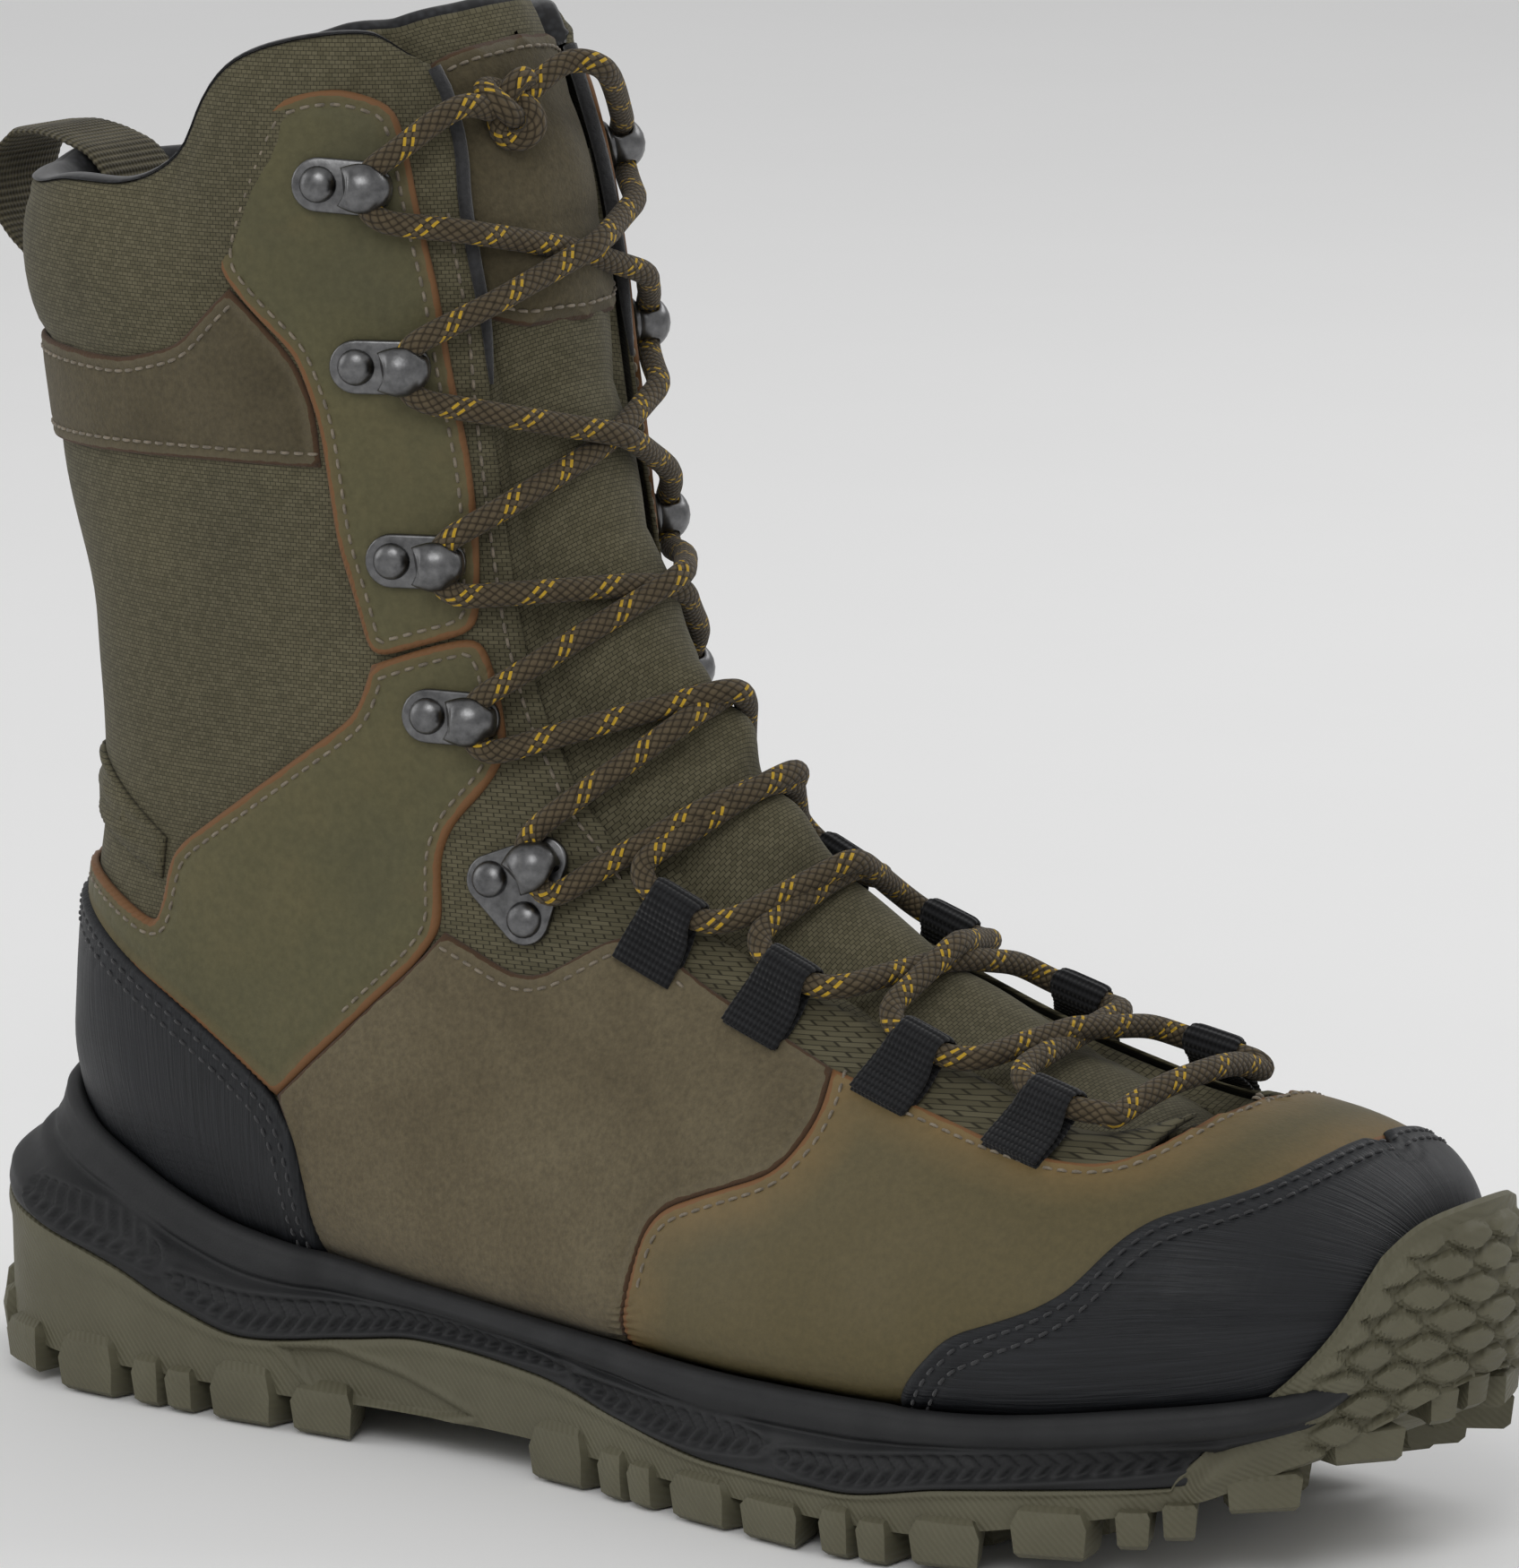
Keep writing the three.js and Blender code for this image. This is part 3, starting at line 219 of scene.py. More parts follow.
# Upper shell: woven nylon sewn into a bent tube and lasted over the foot. The collar is padded and
# rolls over its rim, and the front edges are turned in and stitched.
# Each station is a slanted section: back x and z, front x and z, half width outside and inside, shift of
# the ridge to the inside, height of the widest line, and the roundness above and below that line.
STATIONS = np.array([
    [304, 44, 304, 50, 3, 3, 9, 0.5, 2, 2],
    [301, 34, 301, 62, 19, 18, 9, 0.42, 2.2, 2.2],
    [292, 29, 292, 70, 33, 31, 9, 0.38, 2.2, 2.6],
    [274, 26, 275, 75, 44, 41, 8, 0.34, 2.2, 3],
    [250, 23, 253, 78, 50, 46, 6, 0.3, 2.1, 3],
    [222, 22, 229, 84, 53, 48, 5, 0.26, 1.9, 3],
    [192, 22, 207, 93, 52, 46, 4, 0.23, 1.8, 3],
    [158, 22, 189, 103, 48, 42, 3, 0.22, 1.8, 2.8],
    [118, 22, 175, 114, 44, 39, 2, 0.24, 1.8, 2.6],
    [78, 23, 163, 127, 42, 38, 1, 0.3, 1.8, 2.4],
    [44, 27, 153, 139, 40, 38, 0, 0.38, 1.9, 2.4],
    [23, 38, 145, 151, 39, 38, 0, 0.42, 2, 2.4],
    [16, 58, 138, 163, 39, 38, 0, 0.45, 2.1, 2.4],
    [17, 82, 132, 176, 39, 39, 0, 0.47, 2.2, 2.3],
    [21, 108, 128, 189, 40, 40, 0, 0.48, 2.2, 2.3],
    [19, 138, 125, 203, 41, 41, 0, 0.48, 2.2, 2.3],
    [13, 168, 122, 217, 43, 43, 0, 0.48, 2.2, 2.3],
    [9, 198, 118, 232, 44, 44, 0, 0.48, 2.2, 2.3],
    [6, 224, 112, 248, 44, 44, 0, 0.48, 2.2, 2.3],
    [4, 242, 105, 264, 43, 43, 0, 0.48, 2.2, 2.3],
])


def smooth_curve(xs, ys):
    """A curve through knots that keeps level where they are level, straight on past its ends."""
    xs = np.asarray(xs, float)
    ys = np.asarray(ys, float)
    slope = np.diff(ys) / np.diff(xs)
    before, after = slope[:-1], slope[1:]
    total = np.where(np.abs(before + after) < 1e-12, 1, before + after)
    inner = np.where(before * after > 0, 2 * before * after / total, 0)
    tangent = np.concatenate([slope[:1], inner, slope[-1:]])

    def at(x):
        x = np.asarray(x, float)
        i = np.clip(np.searchsorted(xs, x, side="right") - 1, 0, len(xs) - 2)
        h = xs[i + 1] - xs[i]
        t = (x - xs[i]) / h
        inside = np.clip(t, 0, 1)
        t2, t3 = inside**2, inside**3
        y = ((2 * t3 - 3 * t2 + 1) * ys[i] + (t3 - 2 * t2 + inside) * h * tangent[i]
             + (3 * t2 - 2 * t3) * ys[i + 1] + (t3 - t2) * h * tangent[i + 1])
        return y + (t - inside) * h * np.where(t < 0, slope[0], slope[-1])

    return at


columns = [smooth_curve(np.linspace(0, 1, len(STATIONS)), STATIONS[:, c]) for c in range(10)]


def spot(v, phi):
    """A point of the drawn surface. v runs from the toe to the top; phi is 0 on the front ridge."""
    v, phi = np.broadcast_arrays(np.asarray(v, float), np.asarray(phi, float))
    bx, bz, tx, tz, outside, inside, ridge, waist, above, below = [f(v) for f in columns]
    c, s = np.cos(phi), np.sin(phi)
    power = 2 / np.where(c >= 0, above, below)
    up = waist + np.sign(c) * np.abs(c) ** power * np.where(c >= 0, 1 - waist, waist)
    across = np.sign(s) * np.abs(s) ** power
    shift = ridge * np.maximum(0, (up - waist) / (1 - waist))
    half = np.where(s >= 0, outside, inside)
    return np.stack([bx + (tx - bx) * up, shift - across * half, bz + (tz - bz) * up], -1)


def unit(a):
    return a / np.maximum(np.linalg.norm(a, axis=-1, keepdims=True), 1e-9)


def slopes(v, phi):
    """How the surface runs along and across, per unit of v and phi."""
    step = 0.004
    high, low = np.minimum(v + step, 1), np.maximum(v - step, 0)
    along = (spot(high, phi) - spot(low, phi)) / (high - low)[..., None]
    across = (spot(v, phi + step) - spot(v, phi - step)) / (2 * step)
    return along, across


def facing(v, phi):
    v, phi = np.broadcast_arrays(np.asarray(v, float), np.asarray(phi, float))
    along, across = slopes(v, phi)
    normal = unit(np.cross(along, across))
    return np.where((v <= 0.002)[..., None], np.array([1.0, 0, 0]), normal)


def skin(v, phi, out):
    return spot(v, phi) + facing(v, phi) * np.asarray(out, float)[..., None]


def place_of(points):
    """Where side-view points lie on the outer half: an array of v and phi."""
    x, z = np.asarray(points, float).T
    low, high = np.full(len(x), 0.02), np.ones(len(x))
    for _ in range(40):
        middle = (low + high) / 2
        bx, bz, tx, tz = [f(middle) for f in columns[:4]]
        ahead = (tx - bx) * (z - bz) - (tz - bz) * (x - bx) > 0
        low, high = np.where(ahead, middle, low), np.where(ahead, high, middle)
    v = (low + high) / 2
    bx, bz, tx, tz = [f(v) for f in columns[:4]]
    waist, above, below = [f(v) for f in columns[7:]]
    up = ((x - bx) * (tx - bx) + (z - bz) * (tz - bz)) / ((tx - bx) ** 2 + (tz - bz) ** 2)
    front = up >= waist
    share = np.where(front, (up - waist) / (1 - waist), (waist - up) / waist)
    turn = np.arccos(np.clip(share, 0, 1) ** (np.where(front, above, below) / 2))
    return np.stack([v, np.where(front, turn, math.pi - turn)], -1)


def run_length(path):
    """The distance along a line, at each of its points."""
    return np.concatenate([[0], np.cumsum(np.linalg.norm(np.diff(path, axis=0), axis=1))])


def eased(points, spacing=1.6, passes=6, closed=False):
    """A line through points, evenly spaced, its corners rounded a little."""
    points = np.asarray(points, float)
    if closed:
        points = np.vstack([points, points[:1]])
    length = run_length(points)
    count = max(4, int(round(length[-1] / spacing)))
    at = np.linspace(0, length[-1], count + 1)
    line = np.stack([np.interp(at, length, column) for column in points.T], -1)
    if closed:
        line = line[:-1]
    for _ in range(passes):
        before, after = np.roll(line, 1, 0), np.roll(line, -1, 0)
        mean = (before + 2 * line + after) / 4
        if not closed:
            mean[0], mean[-1] = line[0], line[-1]
        line = mean
    return line


def quads(rows, columns_, closed=False, first=0):
    """Faces of a grid whose rows follow each other; closed joins the last column to the first."""
    i, j = np.meshgrid(np.arange(rows - 1), np.arange(columns_ if closed else columns_ - 1), indexing="ij")
    k = (j + 1) % columns_
    a = first + i * columns_
    return np.stack([a + j, a + k, a + columns_ + k, a + columns_ + j], -1).reshape(-1, 4)


def ramp_between(x, low, high):
    t = np.clip((np.asarray(x, float) - low) / (high - low), 0, 1)
    return t * t * (3 - 2 * t)


def ripple(points, pitch, seed=0.0):
    """A slow uneven swell between -1 and 1, from a few crossed waves."""
    p = np.asarray(points) * (2 * math.pi / pitch)
    turns = [(0.83, 0.31, 0.46, 0.0), (-0.42, 0.74, 0.62, 1.7), (0.37, -0.58, 0.91, 4.1),
             (0.65, 0.7, -0.55, 2.6)]
    return sum(np.sin(p @ np.array(t[:3]) + t[3] + seed * (n + 1)) for n, t in enumerate(turns)) / 4


THROAT = [(103, 262), (103, 254), (107, 247), (111, 236), (113, 225), (117, 206), (119, 190), (122, 170),
          (126, 150), (131, 135), (140, 120), (152, 108), (165, 100), (180, 94.5), (200, 87.5), (220, 81.5),
          (240, 75.5), (250, 74), (257, 75.5), (262, 79)]
RIM = [(-10, 220), (22, 220.5), (33, 223), (50, 223.5), (58, 226), (65, 231), (69, 241), (73, 247),
       (80, 250.5), (89, 253), (98, 254), (106, 250)]
BAND_TOP = [(-10, 195), (19, 195), (49, 194.5), (63, 198), (72, 207), (75, 209)]
SHELL = -0.95  # outer face of the cloth, from the drawn surface
SHELL_BACK = -2.15
LINING_FACE = -8.2
TURN_PHI = 2 * math.pi

edge = place_of(eased(THROAT, 2.0, 3))
edge = edge[np.argsort(edge[:, 0])]
throat_phi = smooth_curve(*edge[np.concatenate([[True], np.diff(edge[:, 0]) > 1e-3])][::3].T)
rim_line = place_of(eased(RIM, 2.0, 4))
rim_line = rim_line[np.argsort(rim_line[:, 1])]
rim_line = rim_line[np.concatenate([[True], np.diff(rim_line[:, 1]) > 1e-3])]
band_line = place_of(eased(BAND_TOP + [(84, 226), (98, 250)], 2.0, 4))
band_line = band_line[np.argsort(band_line[:, 1])]


def fold(phi):
    """The same angle measured on the outer half."""
    return np.abs((np.asarray(phi) + math.pi) % TURN_PHI - math.pi)


def rim_v(phi):
    return np.interp(fold(phi), rim_line[:, 1], rim_line[:, 0])


def band_v(phi):
    return np.interp(fold(phi), band_line[:, 1], band_line[:, 0])


def shell_grid(out_of, bottom, rows, count, top_gap=0.0, side_gap=0.0):
    """A grid from the throat's outer edge round the back to its inner edge, and from bottom to the rim."""
    t = np.linspace(0, 1, rows)[:, None]
    s = (1 - np.cos(np.linspace(0, math.pi, count))) / 2 * 0.25 + np.linspace(0, 1, count) * 0.75
    s = np.broadcast_to(s, (rows, count))
    phi = 0.4 + (TURN_PHI - 0.8) * s
    for _ in range(6):
        v = bottom + (rim_v(phi) - top_gap - bottom) * t
        start = throat_phi(v) + side_gap
        phi = start + (TURN_PHI - 2 * start) * s
    return v, phi, skin(v, phi, out_of(v, phi))


def weave_marks(points):
    """Cloth coordinates: round the leg, and up it."""
    x, y, z = np.asarray(points).reshape(-1, 3).T
    return np.stack([0.044 * np.arctan2(y, x - 66), z / 1000, 0 * x], -1)


def collar_puff(v, phi):
    low, high = band_v(phi), rim_v(phi)
    t = np.clip((v - low) / np.maximum(high - low, 1e-3), 0, 1)
    side = ramp_between(fold(phi), 0.55, 1.5)
    return (0.8 + 2.0 * side) * np.sin(math.pi * t**0.85) ** 0.75


def shell_out(v, phi):
    p = spot(v, phi)
    edge_turn = 1.1 * np.exp(-(((fold(phi) - throat_phi(v)) / 0.05) ** 2))
    sag = 0.9 * np.sin(math.pi * ramp_between(p[..., 2], 118, 176)) * ramp_between(fold(phi), 0.9, 2.0)
    return (SHELL + collar_puff(v, phi) + 0.45 * ripple(p, 62) + 0.12 * ripple(p, 17, 2)
            - 0.5 * edge_turn - sag)


cordura = Finish("woven nylon", (0.08, 0.0745, 0.046), 0.8, Specular_IOR_Level=0.2, Sheen_Weight=0.04)


def woven(finish, dark, mid, light, pitch, depth=0.00022):
    """Threads that show as short dashes, each row set off by half, in two near tones."""
    threads = finish.node("ShaderNodeTexBrick", Scale=1 / pitch, offset=0.5, squash=1.0)
    threads.inputs["Mortar Size"].default_value = 0.075
    threads.inputs["Mortar Smooth"].default_value = 0.9
    threads.inputs["Bias"].default_value = 0.1
    threads.inputs["Brick Width"].default_value = 0.8
    threads.inputs["Row Height"].default_value = 0.52
    threads.inputs["Color1"].default_value = (*mid, 1)
    threads.inputs["Color2"].default_value = (*light, 1)
    threads.inputs["Mortar"].default_value = (*dark, 1)
    finish.join(finish.lay(), threads.inputs["Vector"])
    tone = finish.ramp(finish.noise(28, 3), (0.3, (0.86, 0.86, 0.86)), (0.7, (1.06, 1.05, 1.02)))
    finish.colored(finish.mix(1.0, threads.outputs["Color"], tone, "MULTIPLY"))
    finish.bumps((threads.outputs["Fac"], depth, -0.9), (finish.noise(1600, 2), 0.0001, 0.3))


woven(cordura, (0.024, 0.021, 0.012), (0.08, 0.072, 0.042), (0.118, 0.106, 0.065), 0.0014)

SHELL_BOTTOM = float(place_of([(259, 76)])[0, 0])
shell_rows, shell_count = 130, 150
v, phi, outer = shell_grid(shell_out, SHELL_BOTTOM, shell_rows, shell_count)
roll_v, roll_phi = v[-1], phi[-1]
upward = unit(slopes(roll_v, roll_phi)[0])
normal = facing(roll_v, roll_phi)
rim_out = shell_out(roll_v, roll_phi)
roll = (rim_out - LINING_FACE) / 2
roll_angles = np.radians(np.linspace(0, 180, 15))
CLOTH_TURN = 5  # steps of the roll that the cloth covers before the lining begins


def rim_roll(angle):
    ease = ramp_between(fold(roll_phi) - throat_phi(roll_v), 0.0, 0.22)[..., None]
    middle = spot(roll_v, roll_phi) + normal * (rim_out - roll)[:, None]
    return middle + normal * (roll * math.cos(angle))[:, None] + upward * ease * (
        roll * 1.05 * math.sin(angle))[:, None]


outer = np.concatenate([outer, [rim_roll(a) for a in roll_angles[1:CLOTH_TURN]]])
inner = shell_grid(lambda v, phi: np.full_like(v, SHELL_BACK), SHELL_BOTTOM, shell_rows, shell_count)[2]
back = np.concatenate([inner, np.repeat(inner[-1:], CLOTH_TURN - 1, 0)])
total = outer.shape[0]
count = outer[..., 0].size
faces = [quads(total, shell_count)[:, ::-1], quads(total, shell_count, first=count)]
ring = np.concatenate([
    np.arange(shell_count),
    (np.arange(1, total) + 1) * shell_count - 1,
    (total - 1) * shell_count + np.arange(shell_count - 2, -1, -1),
    np.arange(total - 2, 0, -1) * shell_count,
])
after = np.roll(ring, -1)
faces.append(np.stack([ring, after, after + count, ring + count], -1))
shell_points = np.concatenate([outer.reshape(-1, 3), back.reshape(-1, 3)])
make("upper_shell_cloth", shell_points, np.concatenate(faces), cordura, "cordura", replaces=["upper_shell"],
     lay=weave_marks(shell_points))

# Lining: black knitted mesh, sewn to the shell at the rim and turned down inside the leg.
mesh_knit = Finish("black mesh lining", (0.012, 0.0125, 0.014), 0.85, Sheen_Weight=0.3, Sheen_Roughness=0.4)
knit = mesh_knit.node("ShaderNodeTexVoronoi", Scale=620, feature="F1")
mesh_knit.join(mesh_knit.place, knit.inputs["Vector"])
mesh_knit.colored(mesh_knit.ramp(knit.outputs["Distance"], (0.1, (0.022, 0.023, 0.026)),
                                 (0.6, (0.004, 0.004, 0.005))))
mesh_knit.bumps((knit.outputs["Distance"], 0.0004, -0.8))

lining_rows = 60
down = np.linspace(0, 1, lining_rows)[1:]
lining_v = rim_v(roll_phi)[None, :] + (0.28 - rim_v(roll_phi)[None, :]) * down[:, None]
lining_phi = np.broadcast_to(roll_phi, lining_v.shape)
wall = skin(lining_v, lining_phi, LINING_FACE + 0.5 * ripple(spot(lining_v, lining_phi), 40) * down[:, None])
face_in = np.concatenate([[rim_roll(a) for a in roll_angles[CLOTH_TURN - 1:]], wall])
face_back = face_in.copy()
face_back += facing(np.broadcast_to(roll_v, face_in.shape[:2]),
                    np.broadcast_to(roll_phi, face_in.shape[:2])) * 0.8
n_rows = face_in.shape[0]
count = n_rows * shell_count
ring = np.concatenate([
    np.arange(shell_count),
    (np.arange(1, n_rows) + 1) * shell_count - 1,
    (n_rows - 1) * shell_count + np.arange(shell_count - 2, -1, -1),
    np.arange(n_rows - 2, 0, -1) * shell_count,
])
after = np.roll(ring, -1)
faces = [quads(n_rows, shell_count)[:, ::-1], quads(n_rows, shell_count, first=count),
         np.stack([ring, after, after + count, ring + count], -1)]
lining_points = np.concatenate([face_in.reshape(-1, 3), face_back.reshape(-1, 3)])
make("collar_lining", lining_points, np.concatenate(faces), mesh_knit, "mesh_lining", replaces=["lining"])

# Suede band: a strip of napped leather sewn round the back of the shaft, under the collar. It is cut as
# a flat outline and laid on the surface, with a soft cut edge and a sewn line that pulls it down.
LEATHER = 0.62  # outer face of a leather piece, from the drawn surface
STITCH_LINE = 2.6


def wrapped(outline):
    """An outline of the outer half and its mirror, joined round the heel into one closed line."""
    outer = np.array(outline, float)
    first, last = np.flatnonzero(outer[:, 1] < math.pi - 1e-3)[[0, -1]]
    outer = outer[max(first - 1, 0) : last + 2]
    outer[0, 0], outer[-1, 0] = outer[1, 0], outer[-2, 0]
    inner = np.stack([outer[::-1, 0], TURN_PHI - outer[::-1, 1]], -1)
    return np.concatenate([outer, inner])


def over_ridge(outline):
    """An outline of the outer half and its mirror, joined over the front into one closed line."""
    outer = np.asarray(outline)
    return np.concatenate([outer, np.stack([outer[::-1, 0], -outer[::-1, 1]], -1)])


def to_side(outline, side):
    outline = np.asarray(outline)
    return outline if side > 0 else np.stack([outline[:, 0], TURN_PHI - outline[:, 1]], -1)


def gap_to(points, line, closed=True):
    """How far each point is from a line, in mm."""
    a = line
    b = np.roll(line, -1, 0) if closed else line[1:]
    a = a if closed else a[:-1]
    ab = b - a
    best = np.full(len(points), 1e9)
    for start in range(0, len(points), 400):
        p = points[start : start + 400, None]
        t = np.clip(((p - a) * ab).sum(-1) / np.maximum((ab * ab).sum(-1), 1e-9), 0, 1)
        best[start : start + 400] = np.linalg.norm(a + ab * t[..., None] - p, axis=-1).min(1)
    return best


def within(points, outline):
    """Which flat points lie inside a closed outline."""
    x, y = points[:, 0][:, None], points[:, 1][:, None]
    x0, y0 = outline.T
    x1, y1 = np.roll(outline, -1, 0).T
    crosses = (y0 > y) != (y1 > y)
    at = x0 + (y - y0) / np.where(y1 == y0, 1e-12, y1 - y0) * (x1 - x0)
    return (crosses & (x < at)).sum(1) % 2 == 1


def moved_in(line, distance, closed=True):
    """The line moved sideways over the surface, to its left as seen from outside, in mm."""
    v, phi = line.T
    p = spot(v, phi)
    if closed:
        run = np.roll(p, -1, 0) - np.roll(p, 1, 0)
    else:
        run = np.gradient(p, axis=0)
    side = unit(np.cross(facing(v, phi), unit(run))) * distance
    along, across = slopes(v, phi)
    aa, ac, cc = (along * along).sum(-1), (along * across).sum(-1), (across * across).sum(-1)
    sa, sc = (side * along).sum(-1), (side * across).sum(-1)
    det = np.maximum(aa * cc - ac * ac, 1e-6)
    return line + np.stack([(sa * cc - sc * ac) / det, (sc * aa - sa * ac) / det], -1)


def turned_left(outline):
    """The outline in the order that has its inside to the left, seen from outside the boot."""
    inside = within(moved_in(outline, 1.5), outline).mean()
    return outline if inside > 0.5 else outline[::-1].copy()


def panel(name, outline, finish, slot, replaces=(), low=-0.75, high=LEATHER, spacing=2.4, soft=0.9,
          relief=None, grooves=(STITCH_LINE,), body="boot", base=None):
    """A sheet with the outline's shape, laid on the surface, its cut edge rounded over."""
    outline = turned_left(outline)
    rim_points = spot(*outline.T)
    scale = np.array([330.0, 42.0])
    flat_rim = outline * scale
    free = [moved_in(outline, d) for d in (0.35, 0.9, 1.7, 2.6, 3.6)]
    needed = np.repeat([0.35, 0.9, 1.7, 2.6, 3.6], len(outline))
    free = np.concatenate(free)
    low_corner, high_corner = flat_rim.min(0), flat_rim.max(0)
    gx, gy = np.meshgrid(np.arange(low_corner[0], high_corner[0], spacing * 0.8),
                         np.arange(low_corner[1], high_corner[1], spacing * 0.8))
    gx = gx + (np.arange(gx.shape[0]) % 2)[:, None] * spacing * 0.4
    grid = np.stack([gx.ravel(), gy.ravel()], -1) / scale
    free = np.concatenate([free, grid])
    needed = np.concatenate([needed * 0.93, np.full(len(grid), 4.3)])
    keep = within(free, outline)
    free, needed = free[keep], needed[keep]
    gaps = gap_to(spot(*free.T), rim_points)
    free, gaps = free[gaps >= needed], gaps[gaps >= needed]
    n = len(outline)
    flat = np.concatenate([flat_rim, free * scale])
    loop = [(i, (i + 1) % n) for i in range(n)]
    made = delaunay_2d_cdt([Vector(p) for p in flat], loop, [list(range(n))], 1, 1e-4)
    source = [ids[0] if ids else -1 for ids in made[3]]
    triangles = np.array([[source[i] for i in f] for f in made[2] if all(source[i] >= 0 for i in f)])
    places = np.concatenate([outline, free])
    d = np.concatenate([np.zeros(n), gaps])
    lift = 1 - np.clip(1 - d / soft, 0, 1) ** 2
    out = low + (high - low) * (0.45 + 0.55 * np.sqrt(lift))
    for at in grooves:
        out = out - 0.28 * np.exp(-(((d - at) / 0.75) ** 2))
    flat_points = spot(*places.T)
    out = out + 0.1 * ripple(flat_points, 13, 1) * np.clip(d / 4, 0, 1)
    if relief:
        out = out + relief(places[:, 0], places[:, 1], d, flat_points)
    normal = facing(*places.T)
    top = flat_points + normal * out[:, None]
    under = flat_points + normal * (low + (base(*places.T) if base else np.zeros(len(places))))[:, None]
    a, b, c = top[triangles[:, 0]], top[triangles[:, 1]], top[triangles[:, 2]]
    outward = (np.cross(b - a, c - a) * normal[triangles[:, 0]]).sum(-1) < 0
    triangles[outward] = triangles[outward][:, ::-1]
    m = len(places)
    ring = np.arange(n)
    after = (ring + 1) % n
    faces = [list(f) for f in triangles] + [list(f) for f in triangles[:, ::-1] + m]
    faces += [[i, i + m, j + m, j] for i, j in zip(ring, after)]
    points = np.concatenate([top, under])
    depth = np.concatenate([d, np.zeros(m)]) / 1000
    lay = weave_marks(points)
    lay[:, 2] = depth
    return make(name, points, faces, finish, slot, body=body, replaces=replaces, lay=lay)


def line_of(points, spacing=1.6, passes=6):
    return place_of(eased(points, spacing, passes))




def napped(name, deep, mid, pale):
    """Suede: a cloudy colour under short nap."""
    made = Finish(name, mid, 0.95, Specular_IOR_Level=0.15, Sheen_Weight=0.08, Sheen_Roughness=0.6)
    cloud = made.ramp(made.noise(34, 5), (0.25, deep), (0.5, mid), (0.78, pale))
    nap = made.ramp(made.noise(900, 3), (0.3, (0.78, 0.78, 0.78)), (0.7, (1.14, 1.14, 1.12)))
    return made, made.mix(1.0, cloud, nap, "MULTIPLY")


suede, suede_tone = napped("napped suede", (0.09, 0.072, 0.042), (0.118, 0.096, 0.057), (0.145, 0.12, 0.073))
dark_suede, dark_tone = napped("dark suede", (0.06, 0.049, 0.028), (0.08, 0.066, 0.038), (0.1, 0.083, 0.05))


def edge_worn(finish, base, raw, raw_width, rub, rub_width):
    """Shows the cut edge's colour at the rim of a leather piece, fading into a rubbed margin."""
    depth = finish.part(finish.lay(), 2)
    wander = finish.math("MULTIPLY_ADD", finish.noise(260, 2), 0.0011, -0.00055)
    depth = finish.math("ADD", depth, wander)
    rubbed = finish.math("SUBTRACT", 1.0, finish.math("DIVIDE", depth, rub_width))
    rubbed = finish.math("MAXIMUM", finish.math("MINIMUM", rubbed, 1.0), 0.0)
    patchy = finish.math("MULTIPLY", rubbed, finish.noise(120, 4))
    cut = finish.math("LESS_THAN", depth, raw_width)
    finish.colored(finish.mix(cut, finish.mix(patchy, base, rub), raw))


for finish, tone in ((suede, suede_tone), (dark_suede, dark_tone)):
    edge_worn(finish, tone, (0.07, 0.04, 0.022), 0.0007, (0.135, 0.112, 0.07), 0.003)
    finish.bumps((finish.noise(1500, 3), 0.00035, 0.7), (finish.noise(240, 4), 0.0004, 0.35))

BAND_UPPER = [(-10, 195), (19, 195), (49, 194.5), (63, 198), (72, 207), (75, 209.5)]
BAND_LOWER = [(92, 178), (62, 177.5), (21, 176), (-10, 175)]
band = np.concatenate([line_of(BAND_UPPER),
                       line_of([(75, 209.5), (81, 204), (88, 197), (91, 189), (92, 178)])[1:-1],
                       line_of(BAND_LOWER)])
panel("suede_band_leather", wrapped(band), dark_suede, "suede", ["suede_band"], low=-0.9, high=0.25)

# Rear flex panel: a ribbed strip of the shaft's cloth over the heel tendon, sewn in across the back.
def flex_relief(v, phi, d, p):
    ribs = np.cos((p[:, 2] + 0.13 * p[:, 0] - 100) * 2 * math.pi / 5.2)
    return 0.5 * ribs * np.clip(d / 3.5, 0, 1)


flex = np.concatenate([line_of([(-10, 119), (29, 118), (42, 112.5), (54.5, 105.8)]),
                       line_of([(54.5, 105.8), (53.5, 98)])[1:-1],
                       line_of([(53.5, 98), (40, 103), (28, 106.5), (-10, 106.5)])])
panel("rear_flex_cloth", wrapped(flex), cordura, "cordura", ["rear_flex_panel"], low=-0.9, high=0.3,
      relief=flex_relief, grooves=())

# Facings: waxed nubuck on each side of the lacing, with the upper hooks through it and a raw edge that
# shows the undyed brown of the hide.
nubuck = Finish("waxed nubuck", (0.1, 0.097, 0.05), 0.62, Specular_IOR_Level=0.28, Sheen_Weight=0.04)


def hide(finish, deep, mid, pale, fleck):
    """Cloudy waxed hide: slow patches of two tones, fine grain, and faint pulls."""
    cloud = finish.ramp(finish.noise(22, 6), (0.28, deep), (0.5, mid), (0.76, pale))
    grain = finish.ramp(finish.noise(700, 4), (0.32, (0.86, 0.86, 0.84)), (0.66, (1.07, 1.07, 1.07)))
    return finish.mix(finish.ramp(finish.noise(75, 5), (0.6, (0, 0, 0)), (0.8, (0.35, 0.35, 0.35))),
                      finish.mix(1.0, cloud, grain, "MULTIPLY"), fleck)


edge_worn(nubuck, hide(nubuck, (0.07, 0.066, 0.033), (0.09, 0.082, 0.038), (0.115, 0.098, 0.044),
                       (0.13, 0.1, 0.045)),
          (0.16, 0.075, 0.028), 0.00115, (0.15, 0.1, 0.04), 0.0035)
nubuck.rough(nubuck.noise(60, 4), 0.52, 0.72)
nubuck.bumps((nubuck.noise(900, 4), 0.00025, 0.5), (nubuck.noise(150, 5), 0.0005, 0.3))

